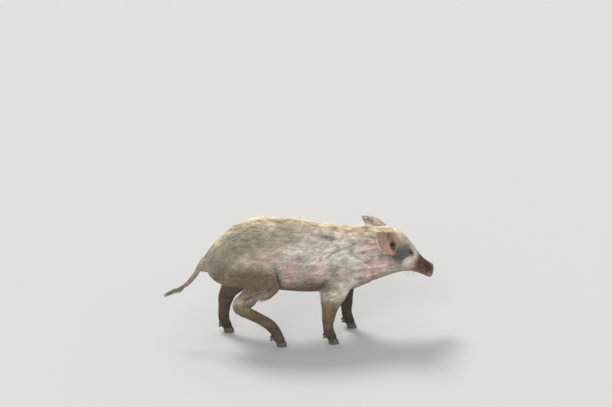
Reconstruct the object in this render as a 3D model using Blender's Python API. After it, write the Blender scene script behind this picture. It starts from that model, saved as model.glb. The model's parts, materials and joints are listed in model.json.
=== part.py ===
"""A young domestic pig, life size, wading forward with its head lowered.

Metres, +Z up. The pig faces +X, its right side is at -Y, and its claws stand on Z = 0.
The trunk, the limbs and the tail are lofted from measured stations and fused into one body,
which gets its muscles and folds and is then parted into named nodes by thin flat cuts.
Claws, muzzle disc, eyes and ears are set on it. The ridge of bristles along the back and the
switch of the tail are overlapping locks, each run joined in one solid.
All of it is modelled straight and level. The last steps turn the head to the pig's left and
bring the origin under the middle of its box.
"""

import math
import random

import bmesh
import bpy
import numpy as np
from mathutils import Matrix, Vector
from mathutils.bvhtree import BVHTree

# Driving sizes
GAP = 0.0003
BODY_VOXEL = 0.0045
BODY_FACES = 6350
RING_POINTS = 36
STEPS_BETWEEN_STATIONS = 4
SMOOTH_ROUNDS = 5

# Trunk, neck and head from the rump to the muzzle. Each station is the top and the bottom of
# the side outline (x, z), the half width, how high the widest place is, and the squareness.
TRUNK = (
    ((-0.403, 0.388), (-0.398, 0.342), 0.022, 0.50, 2.0),
    ((-0.385, 0.421), (-0.380, 0.300), 0.052, 0.50, 2.0),
    ((-0.340, 0.468), (-0.345, 0.270), 0.080, 0.50, 2.1),
    ((-0.270, 0.521), (-0.280, 0.254), 0.100, 0.48, 2.2),
    ((-0.150, 0.551), (-0.150, 0.243), 0.110, 0.51, 2.2),
    ((0.000, 0.534), (0.000, 0.224), 0.120, 0.56, 2.2),
    ((0.080, 0.517), (0.080, 0.219), 0.114, 0.54, 2.2),
    ((0.160, 0.506), (0.150, 0.214), 0.106, 0.50, 2.1),
    ((0.240, 0.501), (0.215, 0.219), 0.097, 0.50, 2.1),
    ((0.310, 0.496), (0.270, 0.240), 0.089, 0.52, 2.1),
    ((0.370, 0.488), (0.325, 0.261), 0.083, 0.56, 2.1),
    ((0.420, 0.470), (0.372, 0.274), 0.078, 0.58, 2.1),
    ((0.462, 0.438), (0.420, 0.283), 0.068, 0.58, 2.2),
    ((0.493, 0.403), (0.456, 0.284), 0.055, 0.54, 2.3),
    ((0.516, 0.370), (0.490, 0.279), 0.043, 0.50, 2.3),
    ((0.544, 0.332), (0.525, 0.263), 0.034, 0.48, 2.3),
    ((0.580, 0.303), (0.567, 0.242), 0.0295, 0.46, 2.2),
)

# Limbs from the trunk to the coronet: centre x, y, z, half size fore and aft, half width.
# These y are for the left side.
HIND_RIGHT = (
    (-0.215, 0.040, 0.460, 0.060, 0.030),
    (-0.206, 0.062, 0.405, 0.100, 0.046),
    (-0.194, 0.073, 0.350, 0.116, 0.051),
    (-0.180, 0.077, 0.300, 0.100, 0.046),
    (-0.190, 0.079, 0.260, 0.070, 0.037),
    (-0.224, 0.080, 0.229, 0.045, 0.027),
    (-0.256, 0.081, 0.208, 0.034, 0.021),
    (-0.258, 0.081, 0.185, 0.031, 0.020),
    (-0.228, 0.080, 0.161, 0.026, 0.018),
    (-0.180, 0.079, 0.132, 0.024, 0.018),
    (-0.137, 0.078, 0.101, 0.025, 0.020),
    (-0.110, 0.077, 0.064, 0.0235, 0.0195),
    (-0.094, 0.077, 0.024, 0.0225, 0.0205),
)
HIND_LEFT = (
    (-0.225, 0.040, 0.460, 0.060, 0.030),
    (-0.228, 0.062, 0.400, 0.096, 0.046),
    (-0.235, 0.071, 0.345, 0.102, 0.050),
    (-0.250, 0.074, 0.285, 0.074, 0.042),
    (-0.275, 0.076, 0.235, 0.054, 0.032),
    (-0.302, 0.078, 0.195, 0.041, 0.024),
    (-0.316, 0.079, 0.160, 0.035, 0.021),
    (-0.323, 0.079, 0.122, 0.028, 0.018),
    (-0.327, 0.078, 0.088, 0.025, 0.018),
    (-0.326, 0.077, 0.060, 0.0245, 0.0190),
    (-0.315, 0.077, 0.024, 0.0225, 0.0205),
)
FORE_RIGHT = (
    (0.165, 0.045, 0.410, 0.050, 0.028),
    (0.155, 0.060, 0.360, 0.076, 0.044),
    (0.148, 0.067, 0.300, 0.082, 0.046),
    (0.139, 0.071, 0.240, 0.061, 0.038),
    (0.126, 0.073, 0.190, 0.045, 0.030),
    (0.119, 0.073, 0.150, 0.034, 0.025),
    (0.116, 0.073, 0.122, 0.030, 0.024),
    (0.114, 0.072, 0.090, 0.024, 0.019),
    (0.117, 0.072, 0.062, 0.0235, 0.0190),
    (0.130, 0.072, 0.024, 0.0225, 0.0205),
)
FORE_LEFT = (
    (0.165, 0.045, 0.410, 0.050, 0.028),
    (0.174, 0.060, 0.360, 0.076, 0.044),
    (0.184, 0.067, 0.300, 0.077, 0.046),
    (0.195, 0.071, 0.240, 0.056, 0.038),
    (0.203, 0.073, 0.190, 0.042, 0.030),
    (0.208, 0.073, 0.150, 0.033, 0.025),
    (0.210, 0.073, 0.122, 0.029, 0.024),
    (0.211, 0.072, 0.090, 0.024, 0.019),
    (0.214, 0.072, 0.062, 0.0235, 0.0190),
    (0.226, 0.072, 0.024, 0.0225, 0.0205),
)
TAIL = (
    (-0.380, 0.0, 0.398, 0.020, 0.020),
    (-0.404, 0.0, 0.372, 0.0155, 0.0145),
    (-0.436, 0.0, 0.322, 0.0125, 0.0120),
    (-0.461, 0.0, 0.288, 0.0115, 0.0110),
    (-0.485, 0.0, 0.264, 0.0108, 0.0105),
    (-0.510, 0.0, 0.250, 0.0105, 0.0100),
)

VULVA = ((-0.398, 0.0, 0.338), (0.012, 0.013, 0.024), math.radians(14))

# The cuts that part the body: a point of the plane and its direction, as (x, z)
HEAD_CUT = ((0.335, 0.380), (1.0, 0.10))
NECK_CUT = ((0.252, 0.370), (1.0, 0.22))
MUZZLE_CUT = ((0.568, 0.2725), (0.979, -0.205))
TAIL_CUT = ((-0.4185, 0.350), (-1.0, 0.0))
TAIL_END = ((-0.485, 0.264), (-0.887, -0.461))
HAM_TOP = ((-0.240, 0.312), (-0.14, 1.0))
HAM_FRONT = ((-0.084, 0.290), (1.0, 0.38))
STIFLE_CUTS = {"right": ((-0.215, 0.232), (-0.15, -1.0)), "left": ((-0.275, 0.235), (-0.25, -1.0))}
HAM_REAR = -0.420
HAM_REACH = 0.20
HAM_AHEAD = 0.20
HAM_HEIGHTS = (-0.1, 0.5)
ELBOW_HEIGHT = 0.205
ELBOW_TILT = 0.55
ELBOW_STATION = 3
FORELEG_BLOCK = ((0.0, 0.085, 0.15), (0.11, 0.075, 0.20))
HOCK_STATIONS = {"right": 8, "left": 7}
KNEE_STATION = 6

# The head's turn to the pig's left
TURN_FROM = 0.27
TURN_OVER = 0.14
HEAD_TURN = math.radians(9.0)

# Claws
CLAW_LENGTH = 0.044
CLAW_WIDTH = 0.0205
CORONET_HEIGHT = 0.026
CORONET_SLOPE = 0.22
CLEFT = 0.0022
CLAW_POINTS = 12
CLAW_AHEAD = 0.010
CLAW_TAPER = 0.30
CLAW_SPLAY = 0.06
CLAW_SQUARENESS = 0.8
SOLE_EDGE = 0.0015
# Rings of a claw's wall: share of its height, size, and how far back it leans
CLAW_RINGS = ((0.0, 0.97, 0.0), (0.5, 0.97, 0.004), (1.0, 0.92, 0.009))
DEWCLAW_POINTS = 8
DEWCLAW_ROOT = (-0.012, 0.010, 0.044)
DEWCLAW_AIM = (-0.62, 0.22, -0.75)
DEWCLAW_LENGTH = 0.019
DEWCLAW_RADIUS = 0.0065
DEWCLAW_RINGS = ((0.0, 1.0), (0.65, 0.9), (1.0, 0.40))
CLEARANCE = 1.4 * GAP

# Muzzle disc, eye and mouth
DISC_RADIUS = 0.0305
DISC_POINTS = 24
DISC_THICK = 0.011
DISC_TALL = 1.04
DISC_RAISED = 0.001
# Rings of the disc: depth from the snout, and size
DISC_RINGS = ((GAP, 0.93), (0.0035, 1.0), (0.0085, 1.0), (0.0105, 0.95), (DISC_THICK, 0.86))
NOSTRIL_RADII = (0.0085, 0.0058, 0.00725)
NOSTRIL_APART = 0.0125
NOSTRIL_RAISED = 0.002
EYE_RADIUS = 0.0115
EYE_SINK = 0.72
EYE_AT = (0.466, 0.388)
MOUTH_LINE = ((0.552, 0.259), (0.532, 0.274), (0.510, 0.290), (0.488, 0.303), (0.466, 0.313))
MOUTH_FRONT = 0.554
CHIN_PLACES = (-0.018, -0.009, 0.0, 0.009, 0.018)
LID_HALF = (0.0118, 0.0076)
LID_THICK = 0.0028
LID_POINTS = 18
EYE_SLANT = math.radians(-28)
GROOVE_RADIUS = 0.0016

# Ears: the front and the rear edge of each from its root to its tip, for the left side
EAR_EDGES = {
    "right": (
        ((0.411, 0.060, 0.453), (0.396, 0.064, 0.480), (0.364, 0.080, 0.503), (0.333, 0.095, 0.515)),
        ((0.363, 0.090, 0.404), (0.341, 0.096, 0.415), (0.321, 0.103, 0.446), (0.309, 0.106, 0.486)),
        (0.304, 0.109, 0.521)),
    "left": (
        ((0.405, 0.060, 0.455), (0.382, 0.062, 0.484), (0.344, 0.074, 0.505), (0.308, 0.087, 0.514)),
        ((0.357, 0.090, 0.406), (0.335, 0.094, 0.418), (0.309, 0.099, 0.450), (0.287, 0.099, 0.484)),
        (0.276, 0.098, 0.509)),
}
EAR_THICK = (0.0048, 0.0030)
EAR_CUP = (0.55, 0.22)
EAR_COLUMNS = 9
EAR_FILL = 0.16
EAR_OPENS = (0.02, 0.42)
EAR_TIP = 0.12
EAR_BURIED = 0.9
EAR_HOLE = ((0.377, 0.072, 0.437), (0.0085, 0.0110, 0.0080))

# The switch of hair at the tail's end
SWITCH_PATH = ((-0.485, 0.264), (-0.510, 0.251), (-0.536, 0.242), (-0.554, 0.230), (-0.562, 0.210))
SWITCH_RADIUS = 0.0085
SWITCH_LOCKS = 18
SWITCH_LOCK_LENGTH = 0.050
SWITCH_LOCK_WIDTH = 0.011
SWITCH_LOCK_THICK = 0.0036
SWITCH_SHARES = (0.10, 0.72)
SWITCH_TURN = 2.4
SWITCH_FLARE = 0.30
SWITCH_TAPER = 0.75
SWITCH_LEAST = 0.0008
SWITCH_POINTS = 10

# The ridge of bristles along the back: node, first and last place, and the size of a lock
CREST_RUNS = (("head", 0.425, 0.372), ("neck", 0.318, 0.262), ("torso", 0.214, -0.290))
CREST_STEP = 0.014
CREST_OFFSET = 0.011
CREST_LENGTH = 0.036
CREST_WIDTH = 0.014
CREST_THICK = 0.0040
CREST_RISE = 0.52
CREST_SPLAY = 0.15
CREST_DROOP = 0.20
CREST_SUNK = (0.006, 0.001)
# Rings of a lock: share of its length, and size
LOCK_RINGS = ((0.0, 0.8), (0.35, 1.0), (0.72, 0.62))
SEED = 7

# Colours and surfaces
SKIN = ((0.55, 0.43, 0.36, 1.0), 0.65)
MUD = ((0.24, 0.19, 0.13, 1.0), 0.70)
DISC = ((0.36, 0.20, 0.20, 1.0), 0.40)
HORN = ((0.13, 0.10, 0.08, 1.0), 0.45)
EYE = ((0.03, 0.018, 0.012, 1.0), 0.08)
BRISTLE = ((0.62, 0.56, 0.44, 1.0), 0.55)


def clear_objects():
    """Remove whatever the file starts with."""
    for obj in list(bpy.data.objects):
        bpy.data.objects.remove(obj)


def make_material(name, finish):
    """A plain surface of one colour and roughness."""
    colour, roughness = finish
    material = bpy.data.materials.new(name)
    material.use_nodes = True
    surface = material.node_tree.nodes["Principled BSDF"]
    surface.inputs["Base Color"].default_value = colour
    surface.inputs["Roughness"].default_value = roughness
    material.diffuse_color = colour
    return material


def add_object(name, bm, material=None):
    """Turn a bmesh into a named object of the scene."""
    mesh = bpy.data.meshes.new(name)
    bm.to_mesh(mesh)
    bm.free()
    obj = bpy.data.objects.new(name, mesh)
    bpy.context.collection.objects.link(obj)
    if material:
        mesh.materials.append(material)
    return obj


def drop(obj):
    """Remove an object that was only needed on the way."""
    bpy.data.objects.remove(obj)


def apply_modifiers(obj):
    """Make the evaluated mesh the object's own mesh."""
    graph = bpy.context.evaluated_depsgraph_get()
    mesh = bpy.data.meshes.new_from_object(obj.evaluated_get(graph))
    obj.modifiers.clear()
    obj.data = mesh
    return obj


def keep_largest(obj):
    """Keep the closed surface with the largest volume."""
    bm = bmesh.new()
    bm.from_mesh(obj.data)
    unseen = set(bm.verts)
    groups = []
    while unseen:
        stack = [unseen.pop()]
        group = set(stack)
        while stack:
            for edge in stack.pop().link_edges:
                for vert in edge.verts:
                    if vert in unseen:
                        unseen.discard(vert)
                        group.add(vert)
                        stack.append(vert)
        groups.append(group)
    largest = max(groups, key=group_volume)
    scraps = [vert for group in groups if group is not largest for vert in group]
    bmesh.ops.delete(bm, geom=scraps, context="VERTS")
    bm.to_mesh(obj.data)
    bm.free()
    return obj


def group_volume(group):
    """The volume inside the faces of a group of vertices."""
    faces = {face for vert in group for face in vert.link_faces}
    total = 0.0
    for face in faces:
        corners = [vert.co for vert in face.verts]
        for a, b in zip(corners[1:], corners[2:]):
            total += corners[0].dot(a.cross(b)) / 6.0
    return abs(total)


def boolean(obj, others, operation):
    """Join objects to one, or cut them from it, and drop them."""
    group = bpy.data.collections.new("operands")
    for other in others:
        group.objects.link(other)
    step = obj.modifiers.new("step", "BOOLEAN")
    step.operation = operation
    step.operand_type = "COLLECTION"
    step.collection = group
    step.solver = "EXACT"
    apply_modifiers(obj)
    for other in others:
        drop(other)
    bpy.data.collections.remove(group)
    return keep_largest(obj)


def smooth_between(stations, steps=STEPS_BETWEEN_STATIONS):
    """Fill in stations along a smooth curve through the given ones."""
    rows = np.array(stations, dtype=float)
    padded = np.vstack([2 * rows[0] - rows[1], rows, 2 * rows[-1] - rows[-2]])
    filled = []
    for i in range(len(rows) - 1):
        a, b, c, d = padded[i:i + 4]
        for step in range(steps):
            t = step / steps
            curve = 2 * b + (c - a) * t + (2 * a - 5 * b + 4 * c - d) * t * t
            filled.append((curve + (3 * b - a - 3 * c + d) * t ** 3) / 2)
    filled.append(rows[-1])
    return filled


def loft(name, rings):
    """Close a run of rings into one skin with a cap at each end."""
    bm = bmesh.new()
    rows = [[bm.verts.new(point) for point in ring] for ring in rings]
    count = len(rows[0])
    for low, high in zip(rows, rows[1:]):
        for i in range(count):
            j = (i + 1) % count
            bm.faces.new((low[i], low[j], high[j], high[i]))
    bm.faces.new(list(reversed(rows[0])))
    bm.faces.new(rows[-1])
    bmesh.ops.recalc_face_normals(bm, faces=bm.faces)
    return add_object(name, bm)


def signed_power(value, power):
    """A power that keeps the sign, for the squarer sections."""
    return math.copysign(abs(value) ** power, value)


def trunk_ring(row):
    """One section of the trunk, neck or head."""
    top = Vector((row[0], 0.0, row[1]))
    bottom = Vector((row[2], 0.0, row[3]))
    half_width, widest, square = row[4:7]
    height = (top - bottom).length
    up = (top - bottom).normalized()
    middle = bottom + up * height * widest
    ring = []
    for i in range(RING_POINTS):
        angle = math.tau * i / RING_POINTS
        across = half_width * signed_power(math.cos(angle), 2 / square)
        share = 1 - widest if math.sin(angle) > 0 else widest
        rise = height * share * signed_power(math.sin(angle), 2 / square)
        ring.append(middle + up * rise + Vector((0.0, across, 0.0)))
    return ring


def limb_rings(stations, side):
    """The sections of a limb, each square to its length."""
    rows = smooth_between(stations)
    centres = [Vector((row[0], row[1] * side, row[2])) for row in rows]
    rings = []
    for i, row in enumerate(rows):
        along = centres[min(i + 1, len(rows) - 1)] - centres[max(i - 1, 0)]
        fore = along.cross(Vector((0.0, -1.0, 0.0))).normalized()
        across = along.cross(fore).normalized()
        ring = []
        for k in range(RING_POINTS):
            angle = math.tau * k / RING_POINTS
            reach = fore * row[3] * math.cos(angle) + across * row[4] * math.sin(angle)
            ring.append(centres[i] + reach)
        rings.append(ring)
    return rings


def ball(name, centre, radii, tilt=0.0, segments=20):
    """A stretched sphere, tilted about Y."""
    bm = bmesh.new()
    bmesh.ops.create_uvsphere(bm, u_segments=segments, v_segments=segments // 2, radius=1.0)
    place = Matrix.Translation(centre) @ Matrix.Rotation(tilt, 4, "Y") @ Matrix.Diagonal((*radii, 1.0))
    bmesh.ops.transform(bm, matrix=place, verts=bm.verts)
    return add_object(name, bm)


def body_pieces():
    """The trunk, limbs, tail root and vulva, still apart."""
    flat = [(*top, *bottom, width, widest, square) for top, bottom, width, widest, square in TRUNK]
    pieces = [loft("trunk", [trunk_ring(row) for row in smooth_between(flat)])]
    limbs = ((HIND_RIGHT, -1), (HIND_LEFT, 1), (FORE_RIGHT, -1), (FORE_LEFT, 1), (TAIL, 1))
    for stations, side in limbs:
        pieces.append(loft("limb", limb_rings(stations, side)))
    pieces.append(ball("vulva", *VULVA))
    return pieces


def fuse_body():
    """Fuse the pieces by a fine voxel mesh and round off where they join."""
    pieces = body_pieces()
    body = pieces[0]
    bm = bmesh.new()
    for piece in pieces:
        bm.from_mesh(piece.data)
    bm.to_mesh(body.data)
    bm.free()
    for piece in pieces[1:]:
        drop(piece)
    fuse = body.modifiers.new("fuse", "REMESH")
    fuse.mode = "VOXEL"
    fuse.voxel_size = BODY_VOXEL
    relax = body.modifiers.new("relax", "SMOOTH")
    relax.factor = 0.5
    relax.iterations = SMOOTH_ROUNDS
    apply_modifiers(body)
    return keep_largest(body)


def shape_body(body):
    """Raise the muscles and sink the folds along each vertex's normal."""
    mesh = body.data
    count = len(mesh.vertices)
    points = np.empty(count * 3)
    normals = np.empty(count * 3)
    mesh.vertices.foreach_get("co", points)
    mesh.vertex_normals.foreach_get("vector", normals)
    points = points.reshape(-1, 3)
    normals = normals.reshape(-1, 3)
    shift = np.zeros(count)
    for centre, radii, height in swellings():
        offset = (points - np.array(centre)) / np.array(radii)
        shift += height * np.exp(-(offset ** 2).sum(axis=1))
    for path, width, depth in folds():
        shift -= depth * np.exp(-(distance_to_path(points, path) / width) ** 2)
    points += normals * shift[:, None]
    mesh.vertices.foreach_set("co", points.ravel())
    mesh.update()


def both_sides(entries):
    """Repeat entries of the left side on the right one."""
    for side in (-1, 1):
        for (x, y, z), *rest in entries:
            yield ((x, y * side, z), *rest)


def swellings():
    """Centre, reach and height of each muscle and pad."""
    both = (
        ((0.135, 0.110, 0.345), (0.055, 0.050, 0.060), 0.006),
        ((0.205, 0.100, 0.395), (0.040, 0.050, 0.070), 0.004),
        ((-0.215, 0.115, 0.400), (0.070, 0.050, 0.060), 0.005),
        ((0.398, 0.080, 0.330), (0.036, 0.040, 0.034), 0.006),
        ((0.446, 0.050, 0.424), (0.018, 0.020, 0.012), 0.004),
        ((0.450, 0.066, 0.345), (0.022, 0.030, 0.022), 0.003),
        ((0.532, 0.036, 0.300), (0.016, 0.020, 0.008), 0.002),
    )
    middle = (
        ((-0.060, 0.000, 0.226), (0.090, 0.050, 0.030), 0.004),
        ((0.500, 0.000, 0.282), (0.020, 0.022, 0.012), 0.002),
    )
    return list(both_sides(both)) + list(middle)


def folds():
    """Path, width and depth of each fold."""
    found = []
    for side in (-1, 1):
        reach = 0.115 * side
        hind_x = 0.0 if side < 0 else -0.045
        fore_x = 0.0 if side < 0 else 0.040
        flank = ((-0.118 + hind_x, reach, 0.365), (-0.096 + hind_x, reach, 0.310),
                 (-0.074 + hind_x, 0.100 * side, 0.258))
        elbow = ((0.135 + fore_x, reach, 0.300), (0.085 + fore_x, reach, 0.262),
                 (0.045 + fore_x, 0.085 * side, 0.238))
        jowl = ((0.352, 0.090 * side, 0.390), (0.346, 0.088 * side, 0.330),
                (0.338, 0.070 * side, 0.275))
        cheek = ((0.500, 0.052 * side, 0.345), (0.478, 0.060 * side, 0.325),
                 (0.462, 0.062 * side, 0.300))
        found += [(flank, 0.012, 0.006), (elbow, 0.012, 0.006), (jowl, 0.010, 0.003),
                  (cheek, 0.007, 0.002)]
    return found


def distance_to_path(points, path):
    """The distance of each point to a bent line."""
    nearest = np.full(len(points), np.inf)
    for start, end in zip(path, path[1:]):
        start = np.array(start)
        along = np.array(end) - start
        share = np.clip((points - start) @ along / (along @ along), 0.0, 1.0)
        gap = points - start - share[:, None] * along
        nearest = np.minimum(nearest, np.sqrt((gap ** 2).sum(axis=1)))
    return nearest


def thin_out(body):
    """Bring the face count down, most where the body is plain."""
    thin = body.modifiers.new("thin", "DECIMATE")
    thin.ratio = BODY_FACES / (2.0 * len(body.data.polygons))
    apply_modifiers(body)


def plane_of(cut):
    """A cut's point and direction, for a plane that holds the Y axis."""
    (x, z), (run, rise) = cut
    return Vector((x, 0.0, z)), Vector((run, 0.0, rise)).normalized()


def half_of(source, name, point, normal):
    """The part of a mesh behind a plane, half a gap short of it, closed by a flat face."""
    bm = bmesh.new()
    bm.from_mesh(source.data)
    geometry = bm.verts[:] + bm.edges[:] + bm.faces[:]
    bmesh.ops.bisect_plane(bm, geom=geometry, dist=1e-7, plane_co=point - normal * GAP / 2,
                           plane_no=normal, clear_outer=True)
    rim = [edge for edge in bm.edges if edge.is_boundary]
    bmesh.ops.triangle_fill(bm, use_beauty=True, edges=rim, normal=normal)
    bmesh.ops.recalc_face_normals(bm, faces=bm.faces)
    return keep_largest(add_object(name, bm))


def split(source, names, point, normal):
    """Part an object in two at a plane and drop the whole one."""
    behind = half_of(source, names[0], point, normal)
    ahead = half_of(source, names[1], point, -normal)
    drop(source)
    return behind, ahead


def ham_block(near, far, grow):
    """A block that holds the hams from one width to another, grown to cut the trunk clear."""
    bm = bmesh.new()
    bmesh.ops.create_cube(bm, size=2.0)
    low, high = HAM_HEIGHTS
    for vert in bm.verts:
        vert.co = (HAM_REAR if vert.co.x < 0 else HAM_FRONT[0][0] + HAM_AHEAD,
                   near if vert.co.y < 0 else far,
                   low if vert.co.z < 0 else high)
    for cut in (HAM_TOP, HAM_FRONT):
        point, normal = plane_of(cut)
        trim_block(bm, point + normal * grow, normal)
    return add_object("block", bm)


def trim_block(bm, point, normal):
    """Cut a closed block flat at a plane."""
    geometry = bm.verts[:] + bm.edges[:] + bm.faces[:]
    bmesh.ops.bisect_plane(bm, geom=geometry, plane_co=point, plane_no=normal, clear_outer=True)
    rim = [edge for edge in bm.edges if edge.is_boundary]
    bmesh.ops.triangle_fill(bm, use_beauty=True, edges=rim, normal=normal)
    bmesh.ops.recalc_face_normals(bm, faces=bm.faces)


def copy_of(source, name):
    """A copy with a mesh of its own."""
    copy = bpy.data.objects.new(name, source.data.copy())
    bpy.context.collection.objects.link(copy)
    return copy


def part_off_hams(trunk):
    """Take both hams with their legs off the trunk, right and left."""
    right = boolean(copy_of(trunk, "right"), [ham_block(-HAM_REACH, -GAP / 2, 0.0)], "INTERSECT")
    left = boolean(copy_of(trunk, "left"), [ham_block(GAP / 2, HAM_REACH, 0.0)], "INTERSECT")
    boolean(trunk, [ham_block(-HAM_REACH, HAM_REACH, GAP)], "DIFFERENCE")
    return right, left


def part_off_foreleg(trunk, side, name, stations):
    """Take one foreleg off the trunk at the elbow."""
    elbow = stations[ELBOW_STATION]
    point = Vector((elbow[0], elbow[1] * side, ELBOW_HEIGHT))
    normal = Vector((0.0, side * -ELBOW_TILT, 1.0)).normalized()
    middle, half = FORELEG_BLOCK
    blocks = []
    for grow in (0.0, GAP):
        bm = bmesh.new()
        bmesh.ops.create_cube(bm, size=2.0)
        for vert in bm.verts:
            vert.co = (point.x + middle[0] + half[0] * vert.co.x,
                       side * (middle[1] + half[1] * vert.co.y),
                       middle[2] + half[2] * vert.co.z)
        trim_block(bm, point + normal * grow, normal)
        blocks.append(add_object("block", bm))
    leg = boolean(copy_of(trunk, name), [blocks[0]], "INTERSECT")
    boolean(trunk, [blocks[1]], "DIFFERENCE")
    return leg


def cut_along(leg, names, stations, side, index):
    """Part a leg square to its length, at one of its stations."""
    rows = np.array([row[:3] for row in stations])
    rows[:, 1] *= side
    along = rows[index + 1] - rows[index - 1]
    return split(leg, names, Vector(rows[index]), Vector(along).normalized())


def coronet_plane(foot):
    """The sloping plane between a foot's skin and its claws."""
    point = Vector((foot[0], 0.0, CORONET_HEIGHT))
    return point, Vector((-CORONET_SLOPE, 0.0, -1.0)).normalized()


def part_legs(trunk):
    """Part every leg, down to the foot above its claws."""
    nodes = {}
    plans = (("right", -1, HIND_RIGHT), ("left", 1, HIND_LEFT))
    for ham, (word, side, stations) in zip(part_off_hams(trunk), plans):
        hock = HOCK_STATIONS[word]
        thigh, rest = split(ham, ("thigh_" + word, "rest"), *plane_of(STIFLE_CUTS[word]))
        shank, rest = cut_along(rest, ("shank_" + word, "rest"), stations, side, hock)
        nodes["hind_foot_" + word] = end_foot(rest, "hind_foot_" + word, stations[-1])
        nodes["thigh_" + word] = thigh
        nodes["shank_" + word] = shank
    for word, side, stations in (("right", -1, FORE_RIGHT), ("left", 1, FORE_LEFT)):
        leg = part_off_foreleg(trunk, side, "leg", stations)
        forearm, rest = cut_along(leg, ("forearm_" + word, "rest"), stations, side, KNEE_STATION)
        nodes["fore_foot_" + word] = end_foot(rest, "fore_foot_" + word, stations[-1])
        nodes["forearm_" + word] = forearm
    return nodes


def end_foot(foot, name, station):
    """End a foot's skin at the coronet."""
    point, normal = coronet_plane(station)
    ended = half_of(foot, name, point, normal)
    drop(foot)
    return ended


def claw_ring(foot, side, sign, scale, back, height_at):
    """One section of a claw, its blunt toe ahead."""
    centre = Vector((foot[0] + CLAW_AHEAD, foot[1] * side, 0.0))
    ring = []
    for i in range(CLAW_POINTS):
        angle = math.tau * i / CLAW_POINTS
        ahead = math.cos(angle)
        taper = 1.0 - CLAW_TAPER * max(ahead, 0.0) ** 2
        x = centre.x + CLAW_LENGTH / 2 * ahead * scale - back
        across = CLAW_WIDTH / 2 * signed_power(math.sin(angle), CLAW_SQUARENESS) * taper * scale
        out = (CLAW_WIDTH + CLEFT) / 2 + CLAW_SPLAY * (x - centre.x)
        ring.append(Vector((x, centre.y + across + side * sign * out, height_at(x))))
    return ring


def claw(name, foot, side, outer, material):
    """One main claw: a D shaped sole, walls that lean in, and a top along the coronet."""
    sign = 1.0 if outer else -1.0
    point, _ = coronet_plane(foot)

    def roof(x):
        """Height of the claw's top."""
        return point.z - CORONET_SLOPE * (x - point.x) - GAP

    rings = []
    for height, scale, back in CLAW_RINGS:
        rings.append(claw_ring(foot, side, sign, scale, back, lambda x: height * roof(x)))
    rings.insert(1, claw_ring(foot, side, sign, 1.0, 0.0, lambda x: SOLE_EDGE))
    obj = loft(name, rings)
    obj.data.materials.append(material)
    return obj


def add_claws(horn):
    """The two main claws of each foot."""
    feet = (("hind_right", HIND_RIGHT, -1), ("hind_left", HIND_LEFT, 1),
            ("fore_right", FORE_RIGHT, -1), ("fore_left", FORE_LEFT, 1))
    for word, stations, side in feet:
        for place in ("outer", "inner"):
            claw("claw_" + word + "_" + place, stations[-1], side, place == "outer", horn)


def inflated(source):
    """A copy of a node that stands a gap proud of it, to cut its neighbours clear."""
    copy = copy_of(source, "inflated")
    normals = [vert.normal.copy() for vert in copy.data.vertices]
    for vert, normal in zip(copy.data.vertices, normals):
        vert.co += normal * CLEARANCE
    copy.data.update()
    return copy


def trim_to(obj, neighbour):
    """Cut a piece so that it meets its neighbour's surface with a gap."""
    return boolean(obj, [inflated(neighbour)], "DIFFERENCE")


def dewclaw(name, foot, centre, side, spread, horn):
    """One small claw behind the foot, a blunt cone that hangs back and down."""
    behind, apart, height = DEWCLAW_ROOT
    root = Vector((centre[0] + behind, centre[1] * side + spread * apart, height))
    along = Vector((DEWCLAW_AIM[0], spread * DEWCLAW_AIM[1], DEWCLAW_AIM[2])).normalized()
    fore = along.cross(Vector((0.0, 1.0, 0.0))).normalized()
    across = along.cross(fore)
    rings = []
    for share, scale in DEWCLAW_RINGS:
        middle = root + along * DEWCLAW_LENGTH * share
        ring = []
        for i in range(DEWCLAW_POINTS):
            angle = math.tau * i / DEWCLAW_POINTS
            reach = fore * math.cos(angle) + across * math.sin(angle)
            ring.append(middle + reach * DEWCLAW_RADIUS * scale)
        rings.append(ring)
    obj = loft(name, rings)
    obj.data.materials.append(horn)
    return trim_to(obj, foot)


def add_dewclaws(nodes, horn):
    """Two dewclaws behind each foot."""
    feet = (("hind", "right", HIND_RIGHT, -1), ("hind", "left", HIND_LEFT, 1),
            ("fore", "right", FORE_RIGHT, -1), ("fore", "left", FORE_LEFT, 1))
    for end, word, stations, side in feet:
        foot = nodes[end + "_foot_" + word]
        for place, spread in (("outer", side), ("inner", -side)):
            name = "dewclaw_" + end + "_" + word + "_" + place
            dewclaw(name, foot, stations[-2], side, spread, horn)


def make_disc(material):
    """The muzzle's flat disc, with a rolled rim and two nostrils."""
    point, normal = plane_of(MUZZLE_CUT)
    up = Vector((-normal.z, 0.0, normal.x))
    base = point + up * DISC_RAISED
    rings = []
    for depth, scale in DISC_RINGS:
        ring = []
        for i in range(DISC_POINTS):
            angle = math.tau * i / DISC_POINTS
            lift = up * math.sin(angle) * DISC_RADIUS * DISC_TALL
            across = Vector((0.0, math.cos(angle) * DISC_RADIUS, 0.0))
            ring.append(base + normal * depth + (lift + across) * scale)
        rings.append(ring)
    disc = loft("muzzle_disc", rings)
    disc.data.materials.append(material)
    cutters = []
    front = point + normal * (DISC_THICK + DISC_RAISED) + up * (DISC_RAISED + NOSTRIL_RAISED)
    for side in (-1, 1):
        centre = front + Vector((0.0, NOSTRIL_APART * side, 0.0))
        cutters.append(ball("nostril", centre, NOSTRIL_RADII, math.atan2(-normal.z, normal.x), 10))
    return boolean(disc, cutters, "DIFFERENCE")


def surface_point(tree, x, z, side):
    """Where a line across the head meets its side."""
    point, normal, _, _ = tree.ray_cast(Vector((x, 0.3 * side, z)), Vector((0.0, -side, 0.0)))
    return point, normal


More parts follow.
